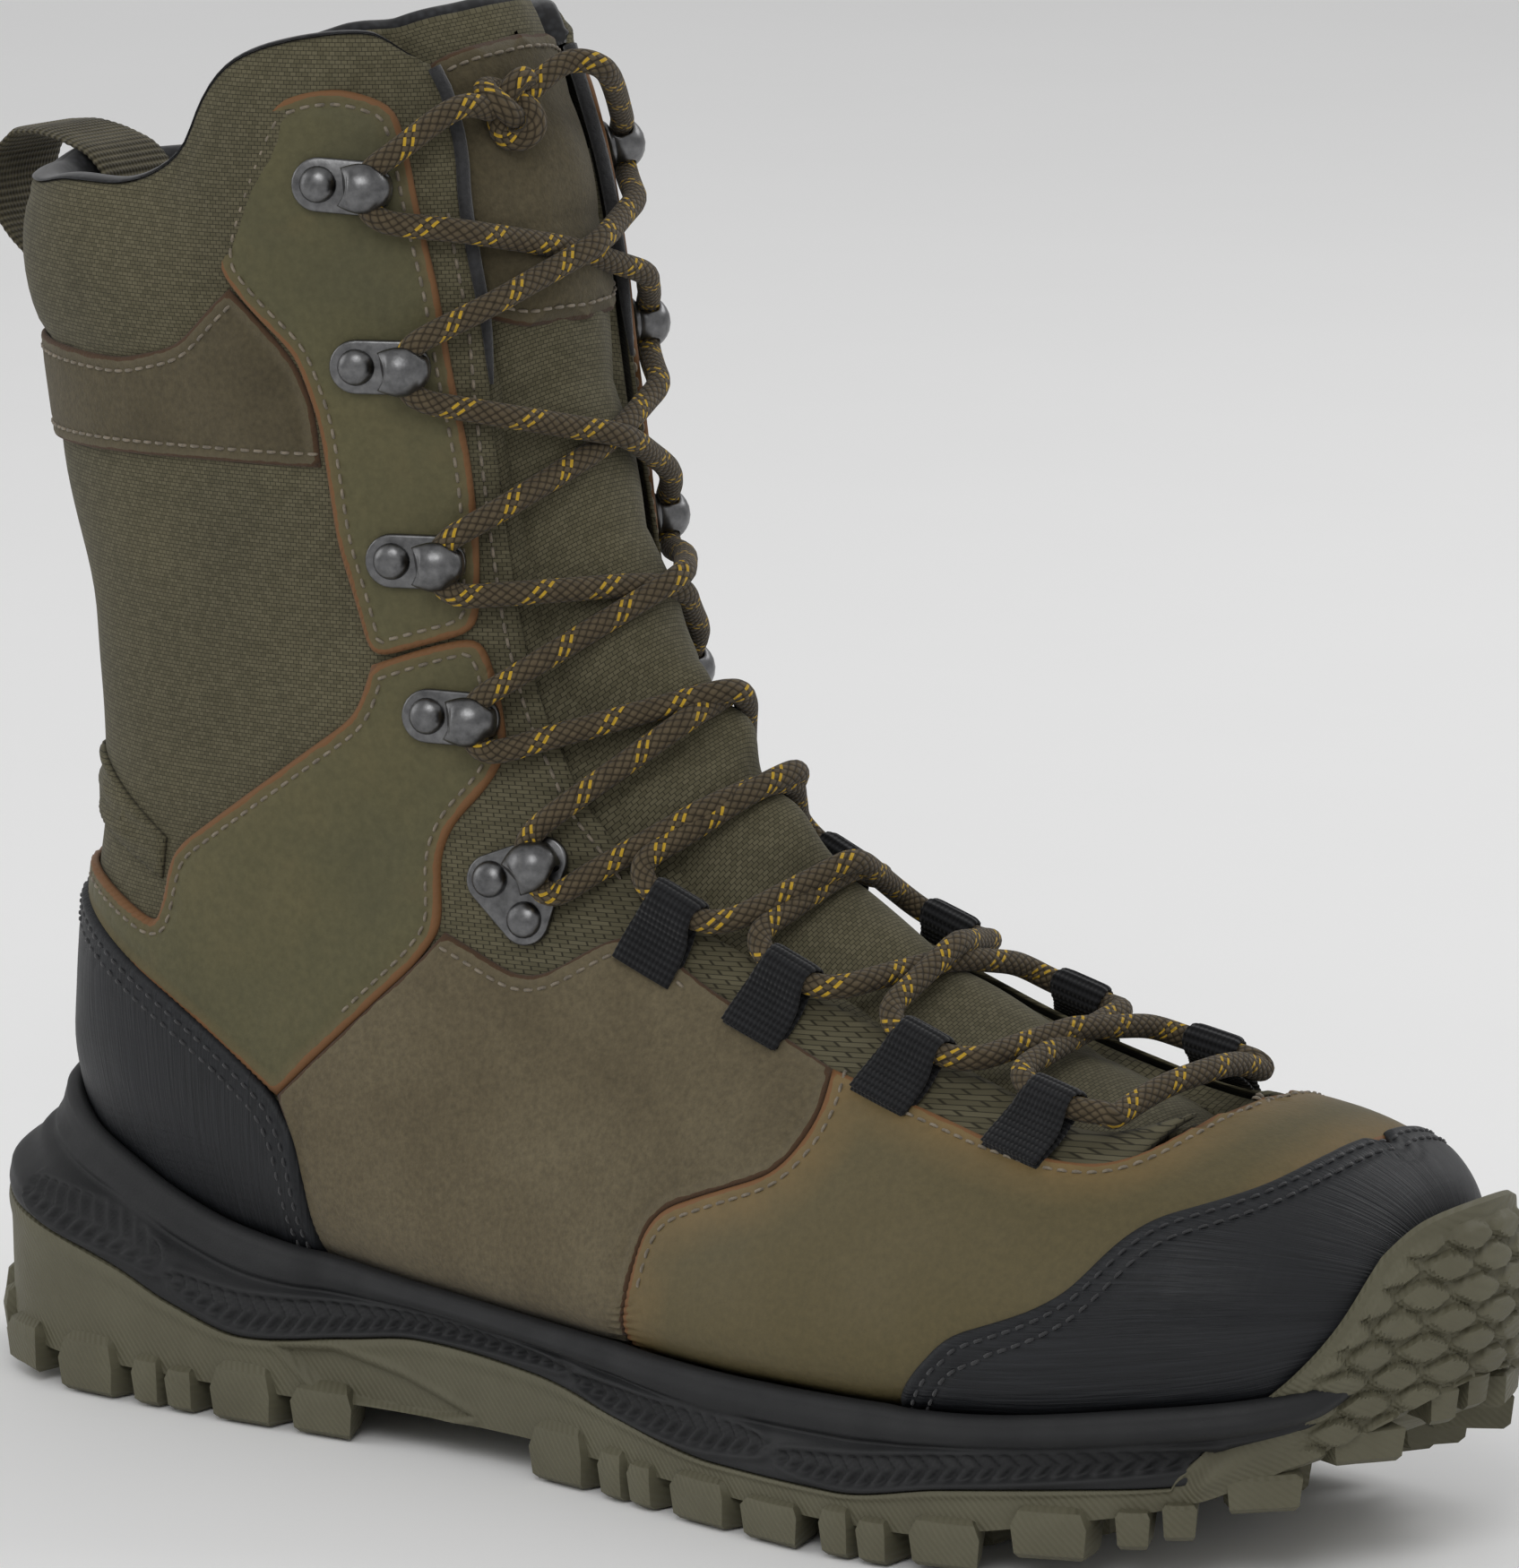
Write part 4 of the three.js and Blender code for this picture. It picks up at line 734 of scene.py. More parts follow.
EYESTAY = [(82, 243), (77.5, 231), (73.5, 219), (73, 213), (80, 205.5), (88, 198.5), (92, 186), (95, 165),
           (99, 150), (101, 143.5), (110, 146.5), (119.5, 149.5), (119, 162), (117, 179), (113.5, 196),
           (111, 211), (105.5, 233), (102, 243.5), (94, 246.5), (87, 245.5)]
for side, word in ((1, "lateral"), (-1, "medial")):
    outline = place_of(eased(EYESTAY, 1.6, 5, closed=True))
    panel(f"eyestay_{word}_leather", to_side(outline, side), nubuck, "nubuck", [f"eyestay_{word}"],
          low=-0.75, high=0.75)

# Ankle panels: the same nubuck from the fourth hook down round the ankle, closing behind the heel.
ANKLE_FRONT = [(101, 142.5), (110, 146), (120, 149), (123.5, 139), (126, 128), (122.5, 121), (117, 115),
               (115, 109), (117, 96), (112, 89), (97, 75), (82, 61.5)]
ANKLE_BACK = [(-10, 97.5), (28, 97), (41, 93), (53, 89), (54.5, 95), (57, 104), (80, 120), (98, 133),
              (101, 142.5)]
for side, word in ((1, "lateral"), (-1, "medial")):
    lower = line_of([(82, 61.5), (56, 76), (26, 89), (-10, 94)])
    outline = np.concatenate([line_of(ANKLE_FRONT)[:-1], lower, line_of(ANKLE_BACK)[:-1]])
    outline[:, 1] = np.minimum(outline[:, 1], math.pi - 0.006)
    panel(f"ankle_{word}_leather", to_side(outline, side), nubuck, "nubuck", [f"ankle_panel_{word}"],
          low=-0.85, high=0.65)

# Quarters: suede sides between the ankle and the forefoot, lasted under the foot.
QUARTER_TOP = [(117.5, 95.5), (126, 92), (133, 89), (139, 90), (146, 95), (152, 98.3), (157, 97.5),
               (169, 91), (199, 80)]
VAMP_SEAM = [(199, 80), (201, 73), (199, 67), (196, 63), (184, 58.5), (173, 54), (170, 49), (168, 39),
             (163, 22)]
for side, word in ((1, "lateral"), (-1, "medial")):
    under = line_of([(163, 22), (126, 22.5), (89, 22.5)])
    rear = line_of([(89, 22.5), (88, 40), (85, 56), (82, 61.5)])
    outline = np.concatenate([line_of(QUARTER_TOP)[:-1], line_of(VAMP_SEAM)[:-1], under[:-1], rear[:-1],
                              line_of([(82, 61.5), (97, 75), (112, 89), (117.5, 95.5)])[:-1]])
    panel(f"quarter_{word}_leather", to_side(outline, side), suede, "suede", [f"quarter_{word}"],
          low=-0.9, high=0.35)

# Vamp: waxed leather over the forefoot, its throat curved round the foot of the lacing, burnished to
# ochre where it is pulled tight.
vamp_hide = Finish("burnished vamp leather", (0.1, 0.083, 0.04), 0.55, Specular_IOR_Level=0.3)
pulled = vamp_hide.math("ADD", vamp_hide.noise(16, 5), vamp_hide.math(
    "MULTIPLY", vamp_hide.part(vamp_hide.place, 0), 3.2))
ochre = vamp_hide.ramp(pulled, (0.42, (0.08, 0.073, 0.04)), (0.62, (0.108, 0.088, 0.043)),
                       (0.86, (0.094, 0.076, 0.033)))
fine_grain = vamp_hide.ramp(vamp_hide.noise(800, 4), (0.3, (0.87, 0.87, 0.85)), (0.68, (1.08, 1.07, 1.05)))
edge_worn(vamp_hide, vamp_hide.mix(1.0, ochre, fine_grain, "MULTIPLY"), (0.17, 0.08, 0.03), 0.0011,
          (0.24, 0.15, 0.055), 0.011)
vamp_hide.rough(vamp_hide.noise(50, 4), 0.46, 0.68)
vamp_hide.bumps((vamp_hide.noise(1000, 4), 0.00022, 0.5), (vamp_hide.noise(120, 5), 0.0004, 0.25))

VAMP_THROAT = [(199, 80), (213, 76.5), (232, 72), (245, 69.8), (255, 69.5), (261, 71.5), (264, 75), (266, 80)]
vamp_half = np.concatenate([
    place_of([(288, 80)]), np.stack([np.full(40, 0.118), np.linspace(0.05, 2.5, 40)], -1),
    line_of([(282, 22), (240, 20), (200, 20), (163, 22)])[:-1],
    line_of(VAMP_SEAM[::-1])[:-1], line_of(VAMP_THROAT)])
vamp_half[0] = (0.118, 0.0)
vamp_half = vamp_half[np.concatenate([[True], np.abs(np.diff(vamp_half, axis=0)).sum(1) > 1e-4])]
keep = np.ones(len(vamp_half), bool)
keep[-1] = True
vamp_half[-1, 1] = 0.0
panel("vamp_leather", over_ridge(vamp_half)[:-1], vamp_hide, "nubuck", ["vamp"], low=-0.85, high=0.55)

# Heel cap: thin black rubber, moulded with fine upright lines, cemented round the heel and sewn twice
# along its upper edge. It goes down inside the sole.
cap_rubber = Finish("lined black rubber", (0.01, 0.011, 0.0125), 0.55, Specular_IOR_Level=0.28)


def streaks(finish, across, along, pitch=1500.0, stretch=0.03):
    """Long thin marks: noise drawn out along one direction."""
    drawn = finish.node("ShaderNodeCombineXYZ")
    finish.join(finish.math("MULTIPLY", across, pitch), drawn.inputs[0])
    finish.join(finish.math("MULTIPLY", along, pitch * stretch), drawn.inputs[1])
    return finish.noise(1.0, 3, drawn.outputs[0])


cap_u = cap_rubber.part(cap_rubber.lay(), 0)
cap_w = cap_rubber.part(cap_rubber.lay(), 1)
upright = streaks(cap_rubber, cap_u, cap_w)
level = streaks(cap_rubber, cap_w, cap_u, 1100.0, 0.04)
cap_tone = cap_rubber.ramp(upright, (0.3, (0.006, 0.0066, 0.0078)), (0.55, (0.011, 0.012, 0.014)),
                           (0.75, (0.018, 0.0195, 0.0225)))
cap_rubber.colored(cap_rubber.mix(cap_rubber.ramp(cap_rubber.noise(45, 4), (0.45, (0, 0, 0)),
                                                  (0.8, (0.6, 0.6, 0.6))),
                                  cap_tone, (0.015, 0.016, 0.019)))
cap_rubber.rough(cap_rubber.noise(90, 3), 0.42, 0.6)
cap_rubber.bumps((upright, 0.0004, 0.75), (level, 0.0002, 0.45))

HEEL_EDGE = [(-10, 95.5), (0, 95), (14, 93.5), (26, 90.5), (41, 84), (56, 76.5), (70, 69), (82, 61.5),
             (87, 54), (89, 44), (89.5, 22)]
heel = np.concatenate([line_of(HEEL_EDGE)[:-1],
                       line_of([(89.5, 22), (60, 21), (40, 24), (18, 34), (-10, 40)])])
panel("heel_cap_rubber", wrapped(heel), cap_rubber, "black_rubber", ["heel_cap"], low=-0.2, high=1.9,
      soft=1.6, grooves=(2.3, 5.0))

# Toe cap: the same lined rubber, drawn over the toe, with a sewn S-shaped edge on each side.
TOE_EDGE = [(291, 78), (288.5, 73), (284, 68), (277, 65.3), (270, 63), (266, 59.5), (263, 55), (260, 51),
            (254, 47.3), (247, 44.5), (240, 42), (235, 37), (229, 30), (222, 20), (214, 14)]
toe_line = place_of(eased(TOE_EDGE, 1.2, 6))
toe_line = toe_line[np.argsort(toe_line[:, 1])]
toe_line = toe_line[np.concatenate([[True], np.diff(toe_line[:, 1]) > 1e-3])]
TOE_LOW, TOE_HIGH, TOE_REACH = -0.2, 1.9, 2.5
toe_phi = np.linspace(-TOE_REACH, TOE_REACH, 240)
toe_edge_v = np.interp(np.abs(toe_phi), toe_line[:, 1], toe_line[:, 0])
share = np.concatenate([np.linspace(0, 0.93, 74), 1 - 0.07 * np.linspace(1, 0, 22)[1:] ** 1.6])
toe_v = share[:, None] * toe_edge_v[None, :]
toe_p = np.broadcast_to(toe_phi, toe_v.shape)
flat_toe = spot(toe_v, toe_p)
toe_rim = spot(toe_edge_v, toe_phi)
d = gap_to(flat_toe.reshape(-1, 3), toe_rim, closed=False).reshape(toe_v.shape)
lift = 1 - np.clip(1 - d / 1.6, 0, 1) ** 2
out = TOE_LOW + (TOE_HIGH - TOE_LOW) * (0.4 + 0.6 * np.sqrt(lift))
for at in (2.3, 5.0):
    out = out - 0.28 * np.exp(-(((d - at) / 0.75) ** 2))
normal = facing(toe_v, toe_p)
top = flat_toe + normal * out[..., None]
under = flat_toe + normal * TOE_LOW
top[0] = top[0].mean(0)
under[0] = under[0].mean(0)
n_rows, n_cols = toe_v.shape
count = n_rows * n_cols
ring = np.concatenate([
    np.arange(n_cols), (np.arange(1, n_rows) + 1) * n_cols - 1,
    (n_rows - 1) * n_cols + np.arange(n_cols - 2, -1, -1), np.arange(n_rows - 2, 0, -1) * n_cols])
after = np.roll(ring, -1)
faces = np.concatenate([quads(n_rows, n_cols), quads(n_rows, n_cols, first=count)[:, ::-1],
                        np.stack([ring, ring + count, after + count, after], -1)])
arc = run_length(toe_rim) / 1000
toe_lay = np.stack([np.broadcast_to(arc * 0.8, toe_v.shape), flat_toe[..., 0] / 1000, d / 1000],
                   -1).reshape(-1, 3)
make("toe_cap_rubber", np.concatenate([top.reshape(-1, 3), under.reshape(-1, 3)]), faces, cap_rubber,
     "black_rubber", replaces=["toe_cap"], lay=np.concatenate([toe_lay, toe_lay]))

# Seams: spun thread in lockstitch, each stitch a short bead that dives at both ends. Grey-brown thread
# on the leather and cloth, black on the rubber.
WELT = [(-10, 58), (12, 51), (34, 45), (68, 34), (102, 31), (150, 28), (197, 26), (240, 27), (277, 32),
        (294, 35), (303, 40), (330, 46)]
welt = smooth_curve(*np.array(WELT, float).T)


def thread(name, color):
    made = Finish(name, color, 0.7, Sheen_Weight=0.2)
    made.colored(made.ramp(made.noise(700, 2), (0.35, tuple(c * 0.7 for c in color)),
                           (0.65, tuple(c * 1.3 for c in color))))
    made.bumps((made.noise(2600, 2), 0.0002, 0.5))
    return made


leather_thread = thread("grey-brown thread", (0.17, 0.14, 0.1))
rubber_thread = thread("black thread", (0.018, 0.018, 0.02))
STITCH, GAP_SHARE, THREAD = 2.75, 0.72, 0.31
BEAD = np.array([(-0.5, 0.35, -1.1), (-0.4, 0.85, -0.15), (-0.15, 1.0, 0.35), (0.15, 1.0, 0.35),
                 (0.4, 0.85, -0.15), (0.5, 0.35, -1.1)])


def bead_mesh(centre, run, normal, length, radius):
    """Every stitch as a bead with six rings of six points."""
    side = unit(np.cross(normal, run))
    turn = np.arange(6) * math.pi / 3
    n = len(centre)
    rings = []
    for at, width, height in BEAD:
        base = centre + run * (at * length) + normal * (height * radius)
        rings.append(base[:, None] + radius * width * (side[:, None] * np.cos(turn)[:, None]
                                                       + normal[:, None] * np.sin(turn)[:, None]))
    points = np.stack(rings, 1).reshape(n, -1, 3)
    one = quads(len(BEAD), 6, closed=True)[:, ::-1].tolist() + [list(range(6)), list(range(35, 29, -1))]
    faces = [[i + 36 * k for i in f] for k in range(n) for f in one]
    return points.reshape(-1, 3), faces


def seam(name, lines, finish, slot, body="boot", pitch=STITCH, radius=THREAD, base=None):
    """Stitches along lines of v, phi and height, skipping what the sole hides."""
    centres, runs, normals = [], [], []
    for line, height in lines:
        p = spot(*line.T)
        length = run_length(p)
        at = np.arange(pitch / 2, length[-1] - pitch / 2, pitch)
        if len(at) < 2:
            continue
        v = np.interp(at, length, line[:, 0])
        phi = np.interp(at, length, line[:, 1])
        normal = facing(v, phi)
        lift = height if base is None else height + base(v, phi)
        c = spot(v, phi) + normal * np.asarray(lift)[..., None]
        run = unit(np.gradient(c, axis=0))
        round_back = (np.abs(phi) > math.pi - 0.2) & (np.abs(run[:, 2]) > 0.5)
        shown = (c[:, 2] > welt(c[:, 0]) - 1.0) & ~round_back
        centres.append(c[shown])
        runs.append(run[shown])
        normals.append(unit(normal - run * (normal * run).sum(-1, keepdims=True))[shown])
    points, faces = bead_mesh(np.concatenate(centres), np.concatenate(runs), np.concatenate(normals),
                              pitch * GAP_SHARE, radius)
    return make(name, points, faces, finish, slot, body=body)


def inset_line(line, distance, closed=False):
    """A line moved in over the surface, without the points that corners bunch together."""
    moved = moved_in(moved_in(line, distance / 2, closed), distance / 2, closed)
    away = gap_to(spot(*moved.T), spot(*line.T), closed)
    return moved[away > distance * 0.86]


def both(line):
    return [line, np.stack([line[:, 0], -line[:, 1]], -1)]


def sewn(points, distance, height, spacing=1.6):
    """The stitch line beside an edge, on both sides of the boot; the inside is on the edge's left."""
    line = inset_line(line_of(points, spacing), distance)
    return [(one, height) for one in both(line)]


eyestay_loop = turned_left(place_of(eased(EYESTAY, 1.6, 5, closed=True)))
eyestay_in = inset_line(eyestay_loop, 2.7, closed=True)
eyestay_in = np.concatenate([eyestay_in, eyestay_in[:1]])
leather_lines = [(one, 0.62) for one in both(eyestay_in)]
leather_lines += sewn(ANKLE_BACK[1:], -2.7, 0.5) + sewn(ANKLE_FRONT[:-1], -2.7, 0.5)
leather_lines += sewn(QUARTER_TOP[:-1], -2.7, 0.2)
leather_lines += sewn(VAMP_SEAM[:-1], 2.6, 0.42) + sewn(VAMP_THROAT[1:], -2.6, 0.42)
band_stitch = inset_line(line_of(BAND_UPPER), -2.5)
leather_lines += [(band_stitch, 0.12), (band_stitch * (1, -1), 0.12)]
leather_lines += sewn(BAND_LOWER, -2.5, 0.12)
shaft_throat = [p for p in THROAT[4:] if p[1] > 104]
leather_lines += [(one, -0.9) for one in both(inset_line(place_of(eased(shaft_throat, 2.0, 3)), -3.0))]
seam("leather_stitching", leather_lines, leather_thread, "lace_cord")
cap_lines = sewn(HEEL_EDGE, -2.3, 1.72) + sewn(HEEL_EDGE, -5.0, 1.8)
cap_lines += sewn(TOE_EDGE[1:], 2.3, 1.72) + sewn(TOE_EDGE[1:], 5.0, 1.8)
seam("cap_stitching", cap_lines, rubber_thread, "black_rubber")

# Piping: a black corded edge down the front of each facing, from the collar to the second hook.
def tube(path, radius, sides=10):
    """A round cord along a path of points, its ends closed. radius may change along it."""
    path = np.asarray(path, float)
    radius = np.broadcast_to(radius, len(path))
    run = unit(np.gradient(path, axis=0))
    side = np.zeros_like(path)
    side[0] = unit(np.cross(run[0], [0.3, 0.2, 0.93]))
    for i in range(1, len(path)):
        side[i] = unit(side[i - 1] - run[i] * (side[i - 1] @ run[i]))
    up = np.cross(run, side)
    turn = np.arange(sides) * TURN_PHI / sides
    points = path[:, None] + radius[:, None, None] * (side[:, None] * np.cos(turn)[:, None]
                                                      + up[:, None] * np.sin(turn)[:, None])
    faces = quads(len(path), sides, closed=True).tolist()
    last = (len(path) - 1) * sides
    faces += [list(range(sides))[::-1], [last + i for i in range(sides)]]
    return points.reshape(-1, 3), faces


piping_cloth = Finish("black piping", (0.012, 0.012, 0.013), 0.75, Sheen_Weight=0.25)
piping_cloth.colored(piping_cloth.ramp(piping_cloth.noise(900, 2), (0.3, (0.008, 0.008, 0.009)),
                                       (0.7, (0.02, 0.02, 0.022))))
piping_cloth.bumps((piping_cloth.noise(1800, 2), 0.0003, 0.6))
PIPING = [(106, 250), (107, 247), (111, 236), (113, 225), (116, 206), (118, 193)]
for side, word in ((1, "lateral"), (-1, "medial")):
    line = line_of(PIPING, 2.0, 4)
    line = np.stack([line[:, 0], side * (throat_phi(line[:, 0]) - 0.012)], -1)
    path = skin(line[:, 0], line[:, 1], np.full(len(line), -1.5))
    radius = 1.35 * (1 - 0.75 * np.linspace(0, 1, len(path)) ** 6)
    points, faces = tube(path, radius)
    make(f"piping_{word}", points, faces, piping_cloth, "black_webbing")

# Tongue: a padded flap of the same woven nylon, sewn in under the facings at the instep and free at its
# top, with pillows between the crossings of the lace and creases at the ankle. It is shaped by moving
# the surface in and out, quilted at the crossings.
TONGUE_BACK = [(256, 58), (250, 60), (232, 69), (205, 79), (182, 86), (163, 91), (146, 100), (132, 113),
               (122, 128),
               (115, 146), (110, 168), (107, 190), (104, 206), (101, 222), (94, 240), (84, 252), (80, 258)]
LOOPS = [(160, 99.5), (184, 90), (212, 80.5), (240, 74)]
LOCK_HOOK = (131, 106)
HOOKS = [(96, 229), (103, 197), (109, 162), (116, 134)]
TONGUE_TOP = 0.985
tongue_edge = line_of(TONGUE_BACK, 2.0, 4)
tongue_edge = tongue_edge[np.argsort(tongue_edge[:, 0])]
tongue_edge = tongue_edge[np.concatenate([[True], np.diff(tongue_edge[:, 0]) > 2e-3])]
tongue_phi = smooth_curve(*tongue_edge[::2].T)
TONGUE_BOTTOM = float(place_of([(261, 72)])[0, 0])
lacing_v = np.array([place_of([p])[0, 0] for p in LOOPS[::-1] + [LOCK_HOOK] + HOOKS[::-1]])
crossing_v = np.concatenate([[TONGUE_BOTTOM + 0.01], (lacing_v[:-1] + lacing_v[1:]) / 2, [0.93, 1.02]])


def tongue_out(v, phi):
    v, phi = np.broadcast_arrays(np.asarray(v, float), np.asarray(phi, float))
    half = np.maximum(throat_phi(v), 0.15)
    pad = np.clip(1 - (np.abs(phi) / (half * 1.12)) ** 2, 0, 1) ** 0.75
    rise = ramp_between(v, 0.19, 0.3)
    step = np.interp(v, crossing_v, np.arange(len(crossing_v)))
    pillow = np.abs(np.sin(math.pi * step)) ** 0.7
    p = spot(v, phi)
    bend = np.exp(-(((v - 0.5) / 0.075) ** 2))
    crease = np.sin(v * 118 + np.sin(phi * 4.5) * 1.4) * 1.1 + np.sin(v * 61 - phi * 7.0 + 1) * 1.0
    pleat = 0.7 * np.cos(phi / half * 7.5) * np.clip(np.abs(phi) / half, 0, 1)
    return (-8.8 + 5.4 * pad * rise + (1.5 * pillow - 0.4) * pad + bend * crease * np.sqrt(pad)
            + 0.5 * ripple(p, 24, 3) * rise + pleat * rise)


t_rows, t_cols = 210, 72
v = np.linspace(TONGUE_BOTTOM, TONGUE_TOP, t_rows)[:, None] + 0 * np.zeros((1, t_cols))
phi = tongue_phi(v) * np.linspace(-1, 1, t_cols)[None, :]
face = skin(v, phi, tongue_out(v, phi))
TONGUE_PAD = 4.6
behind = skin(v, phi, tongue_out(v, phi)
              - TONGUE_PAD * np.clip(1.15 - np.abs(np.linspace(-1, 1, t_cols)) ** 6, 0.25, 1))
top_normal = facing(v[-1], phi[-1])
top_up = unit(slopes(v[-1], phi[-1])[0])
thick = np.linalg.norm(face[-1] - behind[-1], axis=-1)


def tongue_roll(angle):
    r = thick / 2
    return (face[-1] + behind[-1]) / 2 + top_normal * (r * math.cos(angle))[:, None] + top_up * (
        r * 1.3 * math.sin(angle))[:, None]


roll_steps = np.radians(np.linspace(0, 180, 13))
front = np.concatenate([face, [tongue_roll(roll_steps[1])]])


def shut(outer, inner):
    """Two grids of the same size as one closed sheet, the first facing out."""
    rows, cols = outer.shape[:2]
    count = rows * cols
    ring = np.concatenate([np.arange(cols), (np.arange(1, rows) + 1) * cols - 1,
                           (rows - 1) * cols + np.arange(cols - 2, -1, -1),
                           np.arange(rows - 2, 0, -1) * cols])
    after = np.roll(ring, -1)
    faces = np.concatenate([quads(rows, cols), quads(rows, cols, first=count)[:, ::-1],
                            np.stack([ring, ring + count, after + count, after], -1)])
    return np.concatenate([outer.reshape(-1, 3), inner.reshape(-1, 3)]), faces


rows_v = np.concatenate([v, v[-1:]])
rows_phi = np.concatenate([phi, phi[-1:]])
core = np.concatenate([skin(v, phi, tongue_out(v, phi) - 1.4), ((face[-1] + behind[-1]) / 2)[None]])
points, faces = shut(front, core)
arc_v = run_length(spot(rows_v[:, t_cols // 2], 0 * rows_v[:, 0]))
tongue_lay = np.stack([front[..., 1] / 1000, np.broadcast_to(arc_v[:, None] / 1000, front.shape[:2]),
                       0 * front[..., 0]], -1)
tongue_lay[..., 0] = rows_phi * 0.04
tongue_lay = tongue_lay.reshape(-1, 3)
tongue = make("tongue_pad", points, faces, cordura, "cordura", body="tongue_body", replaces=["tongue"],
              lay=np.concatenate([tongue_lay, tongue_lay]))

# Tongue lining: black mesh behind the pad, rolled over its top edge to the front.
lined = np.concatenate([[tongue_roll(a) for a in roll_steps[1:]], behind[::-1][::3]])
inside = np.concatenate([np.repeat(((face[-1] + behind[-1]) / 2)[None], len(roll_steps) - 1, 0),
                         skin(v, phi, tongue_out(v, phi) - 1.8)[::-1][::3]])
points, faces = shut(lined, inside)
make("tongue_lining", points, faces, mesh_knit, "mesh_lining", body="tongue_body")

# Tongue patch: suede, sewn on below the tongue's top. It carries no mark.
PATCH = [(124, 203), (119, 204.5), (114.5, 208), (112, 216), (104.5, 247), (105, 251.5), (108, 254),
         (114, 256)]
patch_half = line_of(PATCH, 1.6, 4)
patch_half[0, 1] = patch_half[-1, 1] = 0.0
patch = over_ridge(patch_half)
patch = patch[np.concatenate([[True], np.abs(np.diff(patch, axis=0)).sum(1) > 1e-4])][:-1]
PATCH_LIFT = 1.1


def on_tongue(v, phi, d, p):
    return tongue_out(v, phi) + PATCH_LIFT


panel("tongue_patch_suede", patch, dark_suede, "suede", ["tongue_patch"], low=-0.9, high=0.3,
      relief=on_tongue, body="tongue_body", base=tongue_out, spacing=2.0)
patch_in = inset_line(turned_left(patch), 2.6, closed=True)
seam("patch_stitching", [(np.concatenate([patch_in, patch_in[:1]]), PATCH_LIFT + 0.25)], leather_thread,
     "lace_cord", body="tongue_body", base=tongue_out)

# Gusset: pleated cloth at each side of the tongue, from under its edge to behind the facing. It lies at the
# tongue's depth at its inner edge and rises towards the boot at its outer one; it is fixed in place and does
# not move with the tongue.
GUSSET_REACH = (0.55, 0.07)  # of the throat's half width, then past it
for side, word in ((1, "lateral"), (-1, "medial")):
    gv = np.linspace(TONGUE_BOTTOM + 0.005, 0.9, 180)[:, None] + np.zeros((1, 30))
    half = throat_phi(gv)
    width = half * (1 - GUSSET_REACH[0]) + GUSSET_REACH[1]
    gphi = half * GUSSET_REACH[0] + width * np.linspace(0, 1, 30)[None, :]
    rise = ramp_between(gphi / half, 0.72, 1.0)
    pleats = 0.55 * np.sin(np.clip(gphi / half, 0, 1.1) * 26) * (1 - rise)
    gout = -7.5 + 4.1 * rise + pleats + 0.35 * np.sin(gv * 150) * rise * (1 - rise) * 4
    outer_grid = skin(gv, gphi * side, gout)
    inner_grid = skin(gv, gphi * side, gout - 0.9)
    points, faces = shut(outer_grid, inner_grid)
    lay = np.stack([gphi * 0.04, np.broadcast_to(arc_v[-1] / 1000 * gv, gphi.shape), 0 * gphi],
                   -1).reshape(-1, 3)
    gusset = make(f"tongue_gusset_{word}_cloth", points, faces, cordura, "cordura", body=None,
                  lay=np.concatenate([lay, lay]))
    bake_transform(gusset)

# Hooks: gunmetal plates riveted through the facings, each with a tongue of metal bent up and back over
# the lace. The lowest hook of each side has a three-cornered plate and two rivets, to lock the lace.
gunmetal = Finish("gunmetal", (0.12, 0.12, 0.122), 0.3, Metallic=1.0)
gunmetal.colored(gunmetal.ramp(gunmetal.noise(500, 4), (0.3, (0.1, 0.1, 0.102)), (0.7, (0.19, 0.19, 0.192))))
gunmetal.rough(gunmetal.noise(1400, 3), 0.24, 0.42)
gunmetal.bumps((gunmetal.noise(900, 3), 0.00008, 0.4))
SEAT = 1.0  # the plates stand on the nubuck


def seat(point, side, out):
    """A place on the upper: its origin, forward, up and out directions."""
    v, phi = place_of([point])[0]
    phi *= side
    normal = facing(v, phi)
    forward = unit(np.array([1.0, 0, 0]) - normal * normal[0])
    return skin(v, phi, out), forward, np.cross(normal, forward) * side, normal


def set_on(points, place):
    origin, forward, upward, normal = place
    p = np.asarray(points, float)
    return origin + p[..., :1] * forward + p[..., 1:2] * upward + p[..., 2:3] * normal


def on_side(faces, side):
    return [list(f) if side > 0 else list(f)[::-1] for f in faces]


def lobed(centres, radius, steps=14):
    """The outline round a chain of discs, counter-clockwise."""
    line = []
    for i, (x, y) in enumerate(centres):
        px, py = centres[i - 1]
        nx, ny = centres[(i + 1) % len(centres)]
        start = math.atan2(y - py, x - px) - math.pi / 2
        end = math.atan2(ny - y, nx - x) - math.pi / 2
        if end < start:
            end += TURN_PHI
        for angle in np.linspace(start, end, steps):
            line.append((x + radius * math.cos(angle), y + radius * math.sin(angle)))
    return np.array(line)


def stacked(levels):
    """Outlines at heights, each with the same number of points, closed below and above."""
    points = np.concatenate([np.column_stack([line, np.full(len(line), z)]) for line, z in levels])
    n = len(levels[0][0])
    last = (len(levels) - 1) * n
    ends = [list(range(n))[::-1], [last + i for i in range(n)]]
    return points, quads(len(levels), n, closed=True).tolist() + ends


def plate(centres, radius, thick=1.25):
    return stacked([(lobed(centres, radius), 0), (lobed(centres, radius), thick - 0.4),
                    (lobed(centres, radius - 0.14), thick - 0.12), (lobed(centres, radius - 0.45), thick)])


